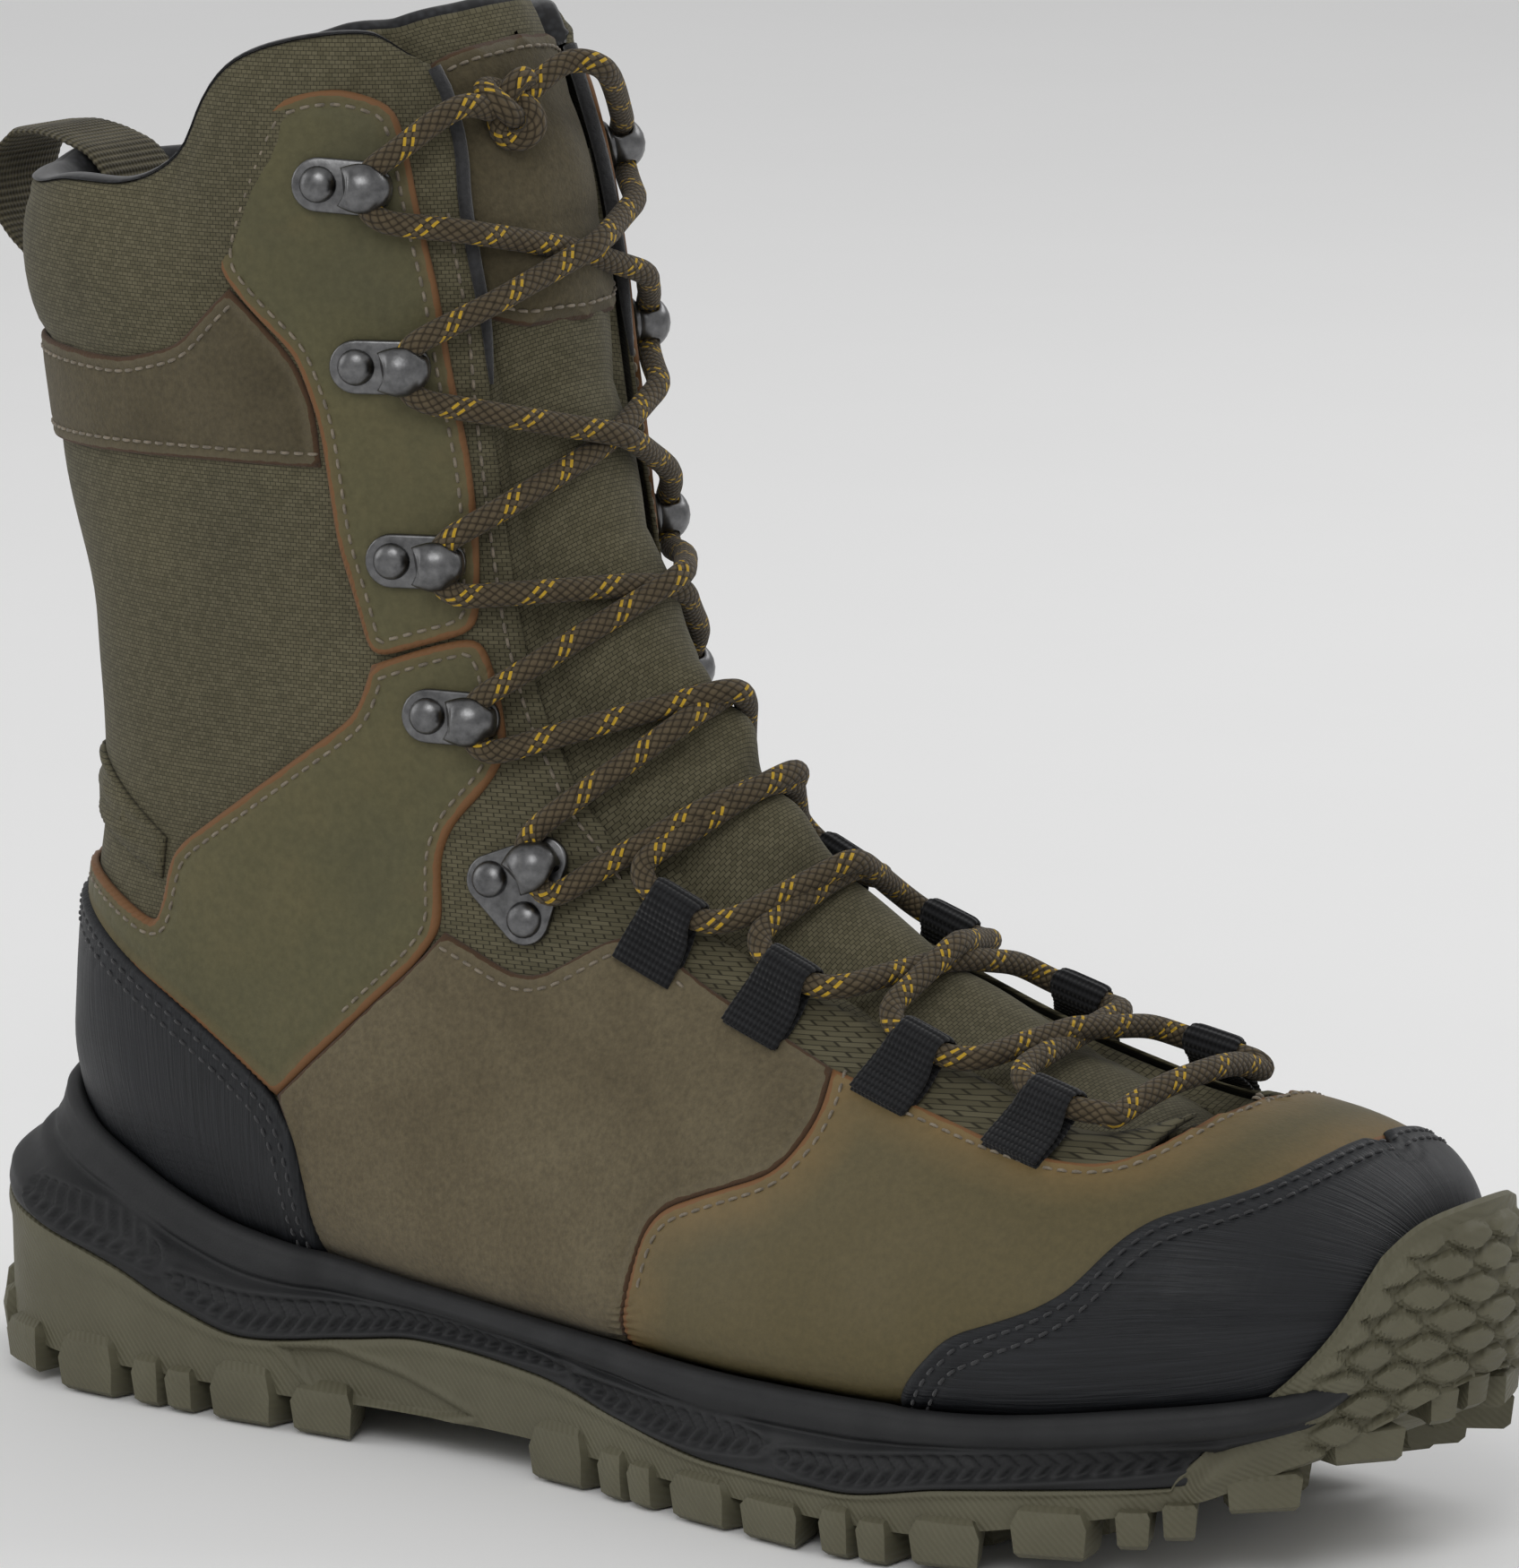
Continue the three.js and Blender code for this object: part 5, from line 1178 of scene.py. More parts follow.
HOOD = np.array([  # along, height, width, thickness, drop of the edges
    (4.0, 0.7, 5.4, 1.2, 0.0), (6.6, 0.9, 5.6, 1.3, 0.0), (8.1, 1.7, 5.2, 1.3, 0.1),
    (8.8, 3.1, 5.0, 1.3, 0.2),
    (8.8, 4.6, 5.2, 1.35, 0.5), (8.0, 6.3, 7.0, 1.4, 1.1), (6.3, 7.5, 8.6, 1.4, 1.7),
    (4.1, 7.9, 9.0, 1.4, 1.9),
    (2.2, 7.7, 8.4, 1.3, 1.7), (0.9, 7.4, 7.6, 1.2, 1.5), (0.0, 7.15, 6.8, 1.0, 1.3)])


def hood(turn=0.0, shift=(0.0, 0.0)):
    """The bent tongue of metal: a domed strip swept along its bend."""
    at = np.linspace(0, 1, len(HOOD))
    fine = np.linspace(0, 1, 36)
    x, z, width, thick, drop = [smooth_curve(at, HOOD[:, c])(fine) for c in range(5)]
    run = unit(np.stack([np.gradient(x), np.gradient(z)], -1))
    turns = np.arange(20) * TURN_PHI / 20
    c, s = np.cos(turns), np.sin(turns)
    across = np.sign(c) * np.abs(c) ** 0.85
    lift = np.sign(s) * np.abs(s) ** 0.8
    normal = np.stack([-run[:, 1], run[:, 0]], -1)
    level = thick[:, None] / 2 * lift + drop[:, None] * across**2
    notch = 2.0 * ramp_between(fine, 0.72, 1.0)[:, None] * (1 - across**2)
    points = np.stack([x[:, None] + notch + normal[:, :1] * level, width[:, None] / 2 * across,
                       z[:, None] + normal[:, 1:] * level], -1)
    cs, sn = math.cos(turn), math.sin(turn)
    points = np.stack([shift[0] + points[..., 0] * cs - points[..., 1] * sn,
                       shift[1] + points[..., 0] * sn + points[..., 1] * cs, points[..., 2]], -1)
    n = points.shape[1]
    last = (len(fine) - 1) * n
    ends = [list(range(n)), [last + i for i in range(n)][::-1]]
    return points.reshape(-1, 3), quads(len(fine), n, closed=True)[:, ::-1].tolist() + ends


def joined(*parts):
    points, faces, first = [], [], 0
    for p, f in parts:
        points.append(p)
        faces += [[first + i for i in one] for one in f]
        first += len(p)
    return np.concatenate(points), faces


RIVET_PLACE = (-4.3, 0.0)
LOCK_RIVETS = [(-5.2, -0.6), (2.4, -7.0)]
LOCK_TURN = 0.75
RIVET = [(3.35, 1.2), (3.35, 1.55), (3.1, 2.05), (2.55, 2.55), (1.7, 2.95), (0.8, 3.12), (0.02, 3.16)]
SHANK_BELOW = [(0.02, -5.6), (2.4, -5.6), (2.4, -5.0), (1.4, -5.0), (1.4, 1.2)]


def rivet_at(centre):
    profile = SHANK_BELOW + RIVET
    turns = np.arange(24) * TURN_PHI / 24
    return stacked([(np.stack([centre[0] + r * np.cos(turns), centre[1] + r * np.sin(turns)], -1), z)
                    for r, z in profile])


hook_seats = {}
for side, word in ((1, "lateral"), (-1, "medial")):
    for i, point in enumerate(HOOKS):
        place = seat(point, side, SEAT)
        hook_seats[i, side] = place
        points, faces = joined(plate([RIVET_PLACE, (4.3, 0.0)], 4.9), hood())
        make(f"hook_{i + 1}_{word}_metal", set_on(points, place), on_side(faces, side), gunmetal, "gunmetal",
             replaces=[f"hook_{i + 1}_{word}"])
        points, faces = rivet_at(RIVET_PLACE)
        make(f"rivet_{i + 1}_{word}_metal", set_on(points, place), on_side(faces, side), gunmetal, "gunmetal",
             replaces=[f"rivet_hook_{i + 1}_{word}"])
    place = seat(LOCK_HOOK, side, 0.1)
    hook_seats["lock", side] = place
    points, faces = joined(plate([(-5.2, -0.6), (2.4, -7.0), (4.4, 3.8)], 4.6), hood(LOCK_TURN, (0.4, -0.4)))
    make(f"lock_hook_{word}_metal", set_on(points, place), on_side(faces, side), gunmetal, "gunmetal",
         replaces=[f"lock_hook_{word}"])
    for k, centre in enumerate(LOCK_RIVETS):
        points, faces = rivet_at(centre)
        make(f"lock_rivet_{k + 1}_{word}_metal", set_on(points, place), on_side(faces, side), gunmetal,
             "gunmetal", replaces=[f"rivet_lock_hook_{word}_{k + 1}"])

# Lace loops: black ribbed webbing folded round the lace, both tails sewn in under the leather's edge.
def ribbed(name, dark, light, sheen):
    made = Finish(name, light, 0.8, Specular_IOR_Level=0.2, Sheen_Weight=sheen, Sheen_Roughness=0.45)
    lay = made.lay()
    rib = made.math("SINE", made.math("MULTIPLY", made.part(lay, 1), TURN_PHI / 0.00135))
    thread_wave = made.math("SINE", made.math("MULTIPLY", made.part(lay, 0), TURN_PHI / 0.0009))
    woven_height = made.math("ADD", rib, made.math("MULTIPLY", thread_wave, 0.45))
    level = made.math("MULTIPLY_ADD", woven_height, 0.3, 0.5)
    made.colored(made.mix(1.0, made.ramp(level, (0.15, dark), (0.8, light)),
                          made.ramp(made.noise(300, 3), (0.3, (0.8, 0.8, 0.8)), (0.7, (1.15, 1.15, 1.15))),
                          "MULTIPLY"))
    made.bumps((woven_height, 0.00022, 0.8), (made.noise(2200, 2), 0.0001, 0.4))
    return made


black_webbing = ribbed("black ribbed webbing", (0.005, 0.005, 0.006), (0.016, 0.0165, 0.018), 0.1)
LOOP_REACH = 3.4  # the lace's middle, in from the loop's sewn middle
LOOP_PATH = np.array([(-9.5, -0.6), (-6, 0.0), (-3, 0.3), (0.3, 0.35), (LOOP_REACH + 1.6, 0.75),
                      (LOOP_REACH + 3.1, 2.1),
                      (LOOP_REACH + 3.3, 4.0), (LOOP_REACH + 1.8, 5.8), (LOOP_REACH - 0.2, 6.1),
                      (LOOP_REACH - 2.4, 5.0), (-1.2, 3.0), (-4.2, 1.75), (-7, 1.2), (-9.5, 0.5)])
LOOP_RUN = np.array([0.94, 0.0, -0.34])
loop_seats = {}
for side, word in ((1, "lateral"), (-1, "medial")):
    for i, point in enumerate(LOOPS):
        v, phi = place_of([point])[0]
        normal = facing(v, phi * side)
        run = unit(LOOP_RUN - normal * (LOOP_RUN @ normal))
        inward = np.cross(normal, run) * side
        origin = skin(v, phi * side, 0.3)
        loop_seats[i, side] = (origin, inward, run, normal)
        path = eased(LOOP_PATH, 0.28, 10)
        length = run_length(path)
        along = unit(np.gradient(path, axis=0))
        out_way = np.stack([along[:, 1], -along[:, 0]], -1)
        rib = 0.1 * np.cos(length * TURN_PHI / 1.35)
        width = 12.4 - 2.9 * np.exp(-(((path[:, 0] - LOOP_REACH) / 4.5) ** 2))
        across = np.sin(np.linspace(-math.pi / 2, math.pi / 2, 15))
        rounding = np.sqrt(np.clip(1 - np.abs(across) ** 8, 0.1, 1))
        grids = []
        for sign in (1, -1):
            flat = path[:, None] + out_way[:, None] * (sign * (0.5 * rounding[None, :, None]
                                                               + rib[:, None, None] * (sign > 0)))
            y = width[:, None] / 2 * across[None, :]
            grids.append(origin + flat[..., :1] * inward + y[..., None] * run + flat[..., 1:] * normal)
        points, faces = shut(grids[0], grids[1])
        lay = np.stack([width[:, None] / 2000 * across,
                        np.broadcast_to(length[:, None] / 1000, (len(path), 15)),
                        np.zeros((len(path), 15))], -1).reshape(-1, 3)
        make(f"lace_loop_{i + 1}_{word}_webbing", points, on_side(faces, -side), black_webbing,
             "black_webbing", replaces=[f"lace_loop_{i + 1}_{word}"], lay=np.concatenate([lay, lay]))

# Lace: a round braid in olive brown with paired yellow flecks. It crosses at the lowest loops, climbs
# through the loops and behind the hooks on alternate sides, and ends in an overhand knot.
LACE = 2.2  # radius
FLECK = 0.0128
braid = Finish("flecked braid", (0.085, 0.066, 0.04), 0.82, Specular_IOR_Level=0.2, Sheen_Weight=0.08)
braid_lay = braid.lay()
run_along, run_round = braid.part(braid_lay, 0), braid.part(braid_lay, 1)
right_hand = braid.math("ADD", braid.math("DIVIDE", run_along, 0.0021), braid.math("MULTIPLY", run_round, 8))
left_hand = braid.math("SUBTRACT", braid.math("DIVIDE", run_along, 0.0021),
                       braid.math("MULTIPLY", run_round, 8))
strands = braid.math("MULTIPLY", braid.math("SINE", braid.math("MULTIPLY", right_hand, math.pi)),
                     braid.math("SINE", braid.math("MULTIPLY", left_hand, math.pi)))
ridge = braid.math("ABSOLUTE", strands)
slanted = braid.math("FRACT", braid.math("ADD", braid.math("DIVIDE", run_along, FLECK),
                                         braid.math("MULTIPLY", run_round, 1.0)))
first_tick = braid.math("MULTIPLY", braid.math("GREATER_THAN", slanted, 0.04),
                        braid.math("LESS_THAN", slanted, 0.1))
second_tick = braid.math("MULTIPLY", braid.math("GREATER_THAN", slanted, 0.2),
                         braid.math("LESS_THAN", slanted, 0.26))
ticks = braid.math("ADD", first_tick, second_tick)
broken = braid.math("GREATER_THAN", braid.math("SINE", braid.math("MULTIPLY", left_hand, TURN_PHI / 2)),
                    -0.35)
braid_base = braid.mix(1.0, braid.ramp(ridge, (0.05, (0.03, 0.022, 0.012)), (0.5, (0.095, 0.072, 0.042))),
                       braid.ramp(braid.noise(500, 2), (0.3, (0.8, 0.8, 0.8)), (0.7, (1.15, 1.15, 1.15))),
                       "MULTIPLY")
braid.colored(braid.mix(braid.math("MULTIPLY", ticks, broken), braid_base, (0.48, 0.3, 0.025)))
braid.bumps((ridge, 0.0004, 0.7))


def through_hook(key, side):
    place = hook_seats[key, side]
    if key == "lock":
        path = np.array([(7.6, -2.6), (5.0, -0.6), (3.3, 2.1), (1.5, 5.0), (1.9, 8.2)])
        heights = (3.0, 3.7, 3.9, 3.7, 3.0)
    else:
        path = np.array([(8.2, -5.7), (5.6, -4.2), (4.4, 0.0), (5.6, 4.2), (8.2, 5.7)])
        heights = (3.2, 3.9, 4.1, 3.9, 3.2)
    return set_on(np.column_stack([path, heights]), place)


def through_loop(i, side):
    origin, inward, run, normal = loop_seats[i, side]
    spots = [(LOOP_REACH + 3.6, 10.5, 2.6), (LOOP_REACH + 0.3, 6.0, 3.2), (LOOP_REACH, 0.0, 3.35),
             (LOOP_REACH + 0.3, -6.0, 3.2), (LOOP_REACH + 3.6, -10.5, 2.6)]
    return np.array([origin + a * inward + b * run + c * normal for a, b, c in spots])


steps = [("loop", i) for i in (3, 2, 1, 0)] + [("hook", "lock")] + [("hook", i) for i in (3, 2, 1, 0)]
spots_of = LOOPS[::-1] + [LOCK_HOOK] + HOOKS[::-1]


def crossing(step, side, high, start, end):
    """A strand pulled tight from one side's place to the other side's next one, over the tongue."""
    a, b = place_of([spots_of[step]])[0], place_of([spots_of[step + 1]])[0]
    share = np.linspace(0, 1, 21)
    v = a[0] + (b[0] - a[0]) * share
    phi = a[1] * side + (-b[1] * side - a[1] * side) * share
    edge = ramp_between(np.abs(phi), throat_phi(v) - 0.05, throat_phi(v) + 0.02)
    over = LACE + 0.1 + tongue_out(v, phi) * (1 - edge) + 0.4 * edge
    if high:
        over = over + (2 * LACE - 0.3) * np.exp(-(((share - 0.5) / 0.09) ** 2))
    floor_points, normal = skin(v, phi, over), facing(v, phi)
    strand = start + (end - start) * share[:, None]
    for _ in range(200):
        strand[1:-1] = (strand[:-2] + strand[2:]) / 2
        under_by = ((floor_points - strand) * normal).sum(-1)[1:-1]
        strand[1:-1] += np.maximum(under_by, 0)[:, None] * normal[1:-1]
    return list(strand[2:-1:2])


def half_lace(start):
    points = []
    for step, (kind, key) in enumerate(steps):
        side = start if step % 2 == 0 else -start
        points.extend(through_loop(key, side) if kind == "loop" else through_hook(key, side))
        if step < len(steps) - 1:
            following, other = steps[step + 1]
            after = through_loop(other, -side) if following == "loop" else through_hook(other, -side)
            points.extend(crossing(step, side, start < 0, points[-1], after[0]))
    return points


KNOT_V, KNOT_PHI = 0.928, 0.2
knot_centre = skin(KNOT_V, KNOT_PHI, tongue_out(KNOT_V, KNOT_PHI) + 5.5)
knot_across = unit(spot(KNOT_V, KNOT_PHI - 0.1) - spot(KNOT_V, KNOT_PHI + 0.1))
knot_up = unit(slopes(KNOT_V, KNOT_PHI)[0])
knot_out = np.cross(knot_up, knot_across) * -1
if knot_out @ facing(KNOT_V, KNOT_PHI) < 0:
    knot_out = -knot_out
outer_half, inner_half = half_lace(1), half_lace(-1)
to_outer = [knot_centre - knot_across * 13 + knot_up * 1.5 + knot_out * 1.0, knot_centre - knot_across * 5]
to_inner = [knot_centre + knot_across * a + knot_up * b + knot_out * c
            for a, b, c in ((21, 3, 3), (14, 6, 3), (8, 4, 2), (3, 1, 0))]
low_v = float(place_of([(252, 75)])[0, 0])
bar = [skin(low_v, p, np.array(2.4)) + np.array([2.0 - abs(p) * 5, 0, 0])
       for p in (0.5, 0.25, 0.0, -0.25, -0.5)]
route = to_outer[::-1] + outer_half[::-1] + bar + inner_half + to_inner


def between(a, b, c, e, t):
    """The stretch from b to c of a smooth line that comes from a and goes on to e."""
    return 0.5 * (2 * b + (c - a) * t + (2 * a - 5 * b + 4 * c - e) * t**2
                  + (3 * b - a - 3 * c + e) * t**3)


def curved(points, spacing, passes):
    """A smooth line through points: rounded at first, then evenly spaced and eased."""
    p = np.asarray(points, float)
    ends = np.vstack([2 * p[0] - p[1], p, 2 * p[-1] - p[-2]])
    t = np.linspace(0, 1, 12, endpoint=False)[:, None]
    pieces = [between(*ends[i - 1 : i + 3], t) for i in range(1, len(ends) - 2)]
    return eased(np.concatenate(pieces + [p[-1:]]), spacing, passes)


def braided(name, path, replaced, sides=16):
    points, faces = tube(path, LACE, sides)
    length = run_length(path) / 1000
    lay = np.stack([np.repeat(length, sides), np.tile(np.arange(sides) / sides, len(path)),
                    np.zeros(len(points))], -1)
    return make(name, points, faces, braid, "lace_cord", replaces=replaced, lay=lay)


lace_path = curved(route, 0.9, 14)
braided("lace_braid", lace_path, ["lace"])
t = np.linspace(0, TURN_PHI, 90)
trefoil = np.stack([np.sin(t) + 2 * np.sin(2 * t), np.cos(t) - 2 * np.cos(2 * t), -np.sin(3 * t)], -1)
trefoil *= np.array([1.75, 2.05, 2.3])
braided("lace_knot_braid", knot_centre + trefoil[:, :1] * knot_across + trefoil[:, 1:2] * knot_up
        + trefoil[:, 2:] * knot_out, ["lace_knot"])

# Pull loop: khaki webbing sewn inside and outside the collar at the heel, standing over the rim.
khaki_webbing = ribbed("khaki ribbed webbing", (0.035, 0.03, 0.018), (0.125, 0.11, 0.07), 0.08)
PULL_OUTSIDE = [(6.6, 193), (4.2, 199), (1.8, 204.5), (-4.0, 209), (-7.8, 213.5), (-9.3, 219),
                (-7.6, 224.5), (-3.0, 228.4)]
PULL_INSIDE = [(-3.0, 228.4), (2.5, 229.0), (8.5, 228.0), (15.0, 226.0), (19.4, 222), (20.4, 216),
               (20.6, 205)]
PULL_WIDTH = 20.0


def strap(name, points, replaced):
    path = eased(points, 0.5, 14)
    length = run_length(path)
    run = unit(np.gradient(path, axis=0))
    out_way = np.stack([-run[:, 1], run[:, 0]], -1)
    across = np.sin(np.linspace(-math.pi / 2, math.pi / 2, 21))
    rounding = np.sqrt(np.clip(1 - np.abs(across) ** 8, 0.08, 1))
    ribs = 0.09 * np.cos(length * TURN_PHI / 1.5)[:, None, None]
    grids = []
    for sign in (1, -1):
        flat = path[:, None] + out_way[:, None] * (sign * (0.75 * rounding[None, :, None] + ribs))
        y = np.broadcast_to(PULL_WIDTH / 2 * across, flat.shape[:2])
        grids.append(np.stack([flat[..., 0], y, flat[..., 1]], -1))
    points, faces = shut(grids[0], grids[1])
    lay = np.stack([np.broadcast_to(across * PULL_WIDTH / 2000, flat.shape[:2]),
                    np.broadcast_to(length[:, None] / 1000, flat.shape[:2]), np.zeros(flat.shape[:2])],
                    -1).reshape(-1, 3)
    piece = make(name, points, faces, khaki_webbing, "khaki_webbing", body=None, replaces=replaced,
                 lay=np.concatenate([lay, lay]))
    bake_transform(piece)
    return piece


strap("pull_webbing_outside", PULL_OUTSIDE, ["pull_loop_outer_end"])
strap("pull_webbing_inside", PULL_INSIDE, ["pull_loop", "pull_loop_inner_end"])

# Sole levels: one outline from above, with heights over x for the spring of the tread, the line between
# the olive outsole and the black midsole, and the midsole's upper edge, which hugs the upper.
SOLE_PLAN = [(0, 0), (3, -16), (10, -29), (28, -41), (70, -43), (110, -41), (145, -43), (180, -50),
             (212, -55), (240, -54),
             (266, -46), (286, -33), (301, -15), (309, 0), (310, 12), (305, 26), (290, 39), (265, 46),
             (230, 50), (195, 46), (155, 38), (115, 35), (70, 39), (28, 39), (10, 28), (3, 15)]
SPRING = [(-10, 9), (0, 7), (12, 4), (32, 0), (200, 0), (232, 0), (246, 2), (262, 5), (277, 8), (291, 14),
          (303, 22), (316, 33)]
SPLIT = [(-10, 36), (4, 34), (22, 31), (46, 25), (59, 20), (76, 16), (100, 19), (116, 21), (144, 19),
         (165, 15), (190, 11.5),
         (218, 11.5), (240, 15), (262, 17), (277, 18), (289, 20), (299, 25), (312, 32)]
BUMPER_TOP = [(278, 19), (284, 27), (291, 37), (297, 47), (302, 56), (307, 63), (312, 66)]
LUG = 6.0
COLUMNS = 1000


def over_x(knots, x):
    line = smooth_curve([k[0] for k in knots], [k[1] for k in knots])
    return line(np.clip(x, knots[0][0], knots[-1][0]))


def ring_line(points, count):
    """A closed smooth line through points, evenly spaced."""
    p = np.asarray(points, float)
    t = np.linspace(0, 1, 24, endpoint=False)[:, None]
    line = np.concatenate([between(p[i - 1], p[i], p[(i + 1) % len(p)], p[(i + 2) % len(p)], t)
                           for i in range(len(p))])
    line = np.vstack([line, line[:1]])
    length = run_length(line)
    at = np.arange(count) / count * length[-1]
    line = np.column_stack([np.interp(at, length, line[:, k]) for k in range(2)])
    for _ in range(60):
        line = (np.roll(line, 1, 0) + 2 * line + np.roll(line, -1, 0)) / 4
    return line, at


plan, plan_run = ring_line(SOLE_PLAN, COLUMNS)
plan_tangent = unit(np.roll(plan, -1, 0) - np.roll(plan, 1, 0))
plan_out = np.stack([plan_tangent[:, 1], -plan_tangent[:, 0]], -1)
plan_x = plan[:, 0]
toe_tip = plan_run[int(np.argmax(plan_x))]

upper_points, upper_faces = [], []
for worn in ("upper_shell_cloth", "heel_cap_rubber", "toe_cap_rubber", "vamp_leather",
             "quarter_lateral_leather",
             "quarter_medial_leather", "ankle_lateral_leather", "ankle_medial_leather"):
    if worn in bpy.data.objects:
        mesh = bpy.data.objects[worn].data
        base = len(upper_points)
        upper_points.extend(v.co.copy() for v in mesh.vertices)
        upper_faces.extend([base + i for i in f.vertices] for f in mesh.polygons)
upper_tree = BVHTree.FromPolygons(upper_points, upper_faces)


def upper_reach(heights, blur=9):
    """How far the upper stands out past the sole's outline at these heights, column by column."""
    reach = np.zeros(COLUMNS)
    for j in range(COLUMNS):
        start = row(np.array([*(plan[j] + 25 * plan_out[j]), heights[j]]))
        hit = upper_tree.ray_cast(Vector(start), Vector((-plan_out[j, 0], -plan_out[j, 1], 0.0)), 0.06)
        reach[j] = 25 - hit[3] * 1000 if hit[0] is not None else -8
    span = np.arange(-blur, blur + 1)
    weight = np.exp(-((span / (0.5 * blur)) ** 2))
    weight /= weight.sum()
    return sum(w * np.roll(reach, k) for k, w in zip(span, weight))


def ring_at(out, z):
    flat = plan + out[:, None] * plan_out
    return np.column_stack([flat, z])


def facing_out(points, faces):
    """The faces turned, if need be, so that a closed shell's volume is positive."""
    p = np.asarray(points)
    volume = 0.0
    for f in faces:
        for k in range(1, len(f) - 1):
            volume += np.dot(p[f[0]], np.cross(p[f[k]], p[f[k + 1]]))
    return faces if volume > 0 else [list(f)[::-1] for f in faces]


def bell(x, middle, width):
    return np.exp(-(((x - middle) / width) ** 2))


# Midsole: black rubber with a smooth roll under the upper, a groove, and sunk pods of chevrons.
sole_rubber = Finish("sole rubber", (0.013, 0.0135, 0.0145), 0.55, Specular_IOR_Level=0.3)
sole_rubber.colored(sole_rubber.ramp(sole_rubber.noise(90, 4), (0.3, (0.0115, 0.012, 0.013)),
                                     (0.75, (0.018, 0.0185, 0.0195))))
sole_rubber.rough(sole_rubber.noise(220, 3), 0.48, 0.66)
sole_rubber.bumps((sole_rubber.noise(2600, 3), 0.00012, 0.5))
PODS = [(20, 57), (58, 152), (153, 203), (204, 286)]
welt_line = welt(np.clip(plan_x, -10, 330)) + 0.8
split_line = over_x(SPLIT, plan_x)
hug = upper_reach(welt_line + 1.5)
behind_bumper = ramp_between(plan_x, 294, 303)


def pods_relief(x, t, high):
    relief = np.zeros_like(t)
    for left, right in PODS:
        u = np.clip((x - (left + right) / 2) / ((right - left) / 2), -1, 1)
        middle = 0.33 + 0.05 * np.sin(u * 2.4)
        half = 0.235 * np.sqrt(np.clip(1 - u**2, 0, 1)) ** 0.7
        from_edge = (half - np.abs(t - middle)) * high
        inside = ramp_between(from_edge, 0.1, 0.9) * (np.abs(u) < 1)
        slant = (x + 0.85 * np.abs(t - middle) * high) / 3.3
        ridge = np.clip(np.sin(TURN_PHI * slant) * 1.7, -1, 1)
        relief += inside * (-0.55 + 0.42 * ridge) + 0.55 * bell(from_edge, -0.4, 0.6) * (np.abs(u) < 0.98)
    return relief


rings = []
BODY_ROWS = 40
for t in np.linspace(0, 1, BODY_ROWS):
    level = np.full(COLUMNS, t)
    high = welt_line - split_line
    z = split_line + (high - 1.0) * t
    out = 0.5 + (hug + 2.9 - 0.5) * ramp_between(level, 0.22, 0.86)
    out += 0.8 * bell(level, 0.82, 0.13) - 1.1 * bell(level, 0.61, 0.045) + 0.35 * bell(level, 0.08, 0.07)
    out += pods_relief(plan_x, level, high)
    out -= 1.6 * bell(level, 0.42, 0.12) * (1 - ramp_between(plan_x, 12, 34))
    out -= 4.5 * behind_bumper + (0.6 if t == 0 else 0)
    rings.append(ring_at(out, z))
for out_share, up in ((2.3, -0.1), (1.3, 0.45), (0.4, 0.35), (-0.4, -0.6), (-2.5, -4.0)):
    rings.append(ring_at(hug + out_share - 4.5 * behind_bumper, welt_line + up))
rings.append(ring_at(np.minimum(hug - 3.0, -4.0), split_line + 1.5))
rings.append(ring_at(np.full(COLUMNS, -4.0), split_line))
rings = np.array(rings)
n_rows = len(rings)
ring_faces = quads(n_rows, COLUMNS, closed=True).tolist()
ring_faces += [[(n_rows - 1) * COLUMNS + i, (n_rows - 1) * COLUMNS + (i + 1) % COLUMNS, (i + 1) % COLUMNS, i]
               for i in range(COLUMNS)]
make("midsole_rubber", rings.reshape(-1, 3), facing_out(rings.reshape(-1, 3), ring_faces), sole_rubber,
     "black_rubber", replaces=["midsole"])

# Outsole: olive rubber, with angular lugs that climb the sides, a sunk panel in the arch, and a bumper
# turned up over the toe with rows of blocks.
tread_rubber = Finish("olive tread rubber", (0.1, 0.093, 0.06), 0.6, Specular_IOR_Level=0.3)
lay = tread_rubber.lay()
hatch = tread_rubber.math("ADD", tread_rubber.part(lay, 0),
                          tread_rubber.math("MULTIPLY", tread_rubber.part(lay, 1), 0.8))
hatch = tread_rubber.math("SINE", tread_rubber.math("MULTIPLY", hatch, TURN_PHI / 0.0013))
tread_rubber.colored(tread_rubber.ramp(tread_rubber.noise(60, 4), (0.3, (0.1, 0.093, 0.06)),
                                       (0.75, (0.125, 0.118, 0.077))))
tread_rubber.rough(tread_rubber.noise(300, 3), 0.52, 0.72)
tread_rubber.bumps((hatch, 0.00012, 0.5), (tread_rubber.noise(1500, 3), 0.0001, 0.4))
ARCH = (97, 148)
ARCH_PANEL = np.array([(84, 15.5), (96, 16.5), (112, 13.5), (128, 8.5), (118, 6.8), (101, 7.2), (92, 9.5)])


def tread_level(x):
    arch = ramp_between(x, ARCH[0] - 6, ARCH[0] + 6) * (1 - ramp_between(x, ARCH[1] - 8, ARCH[1] + 4))
    return over_x(SPRING, x) + LUG + 0.5 * arch


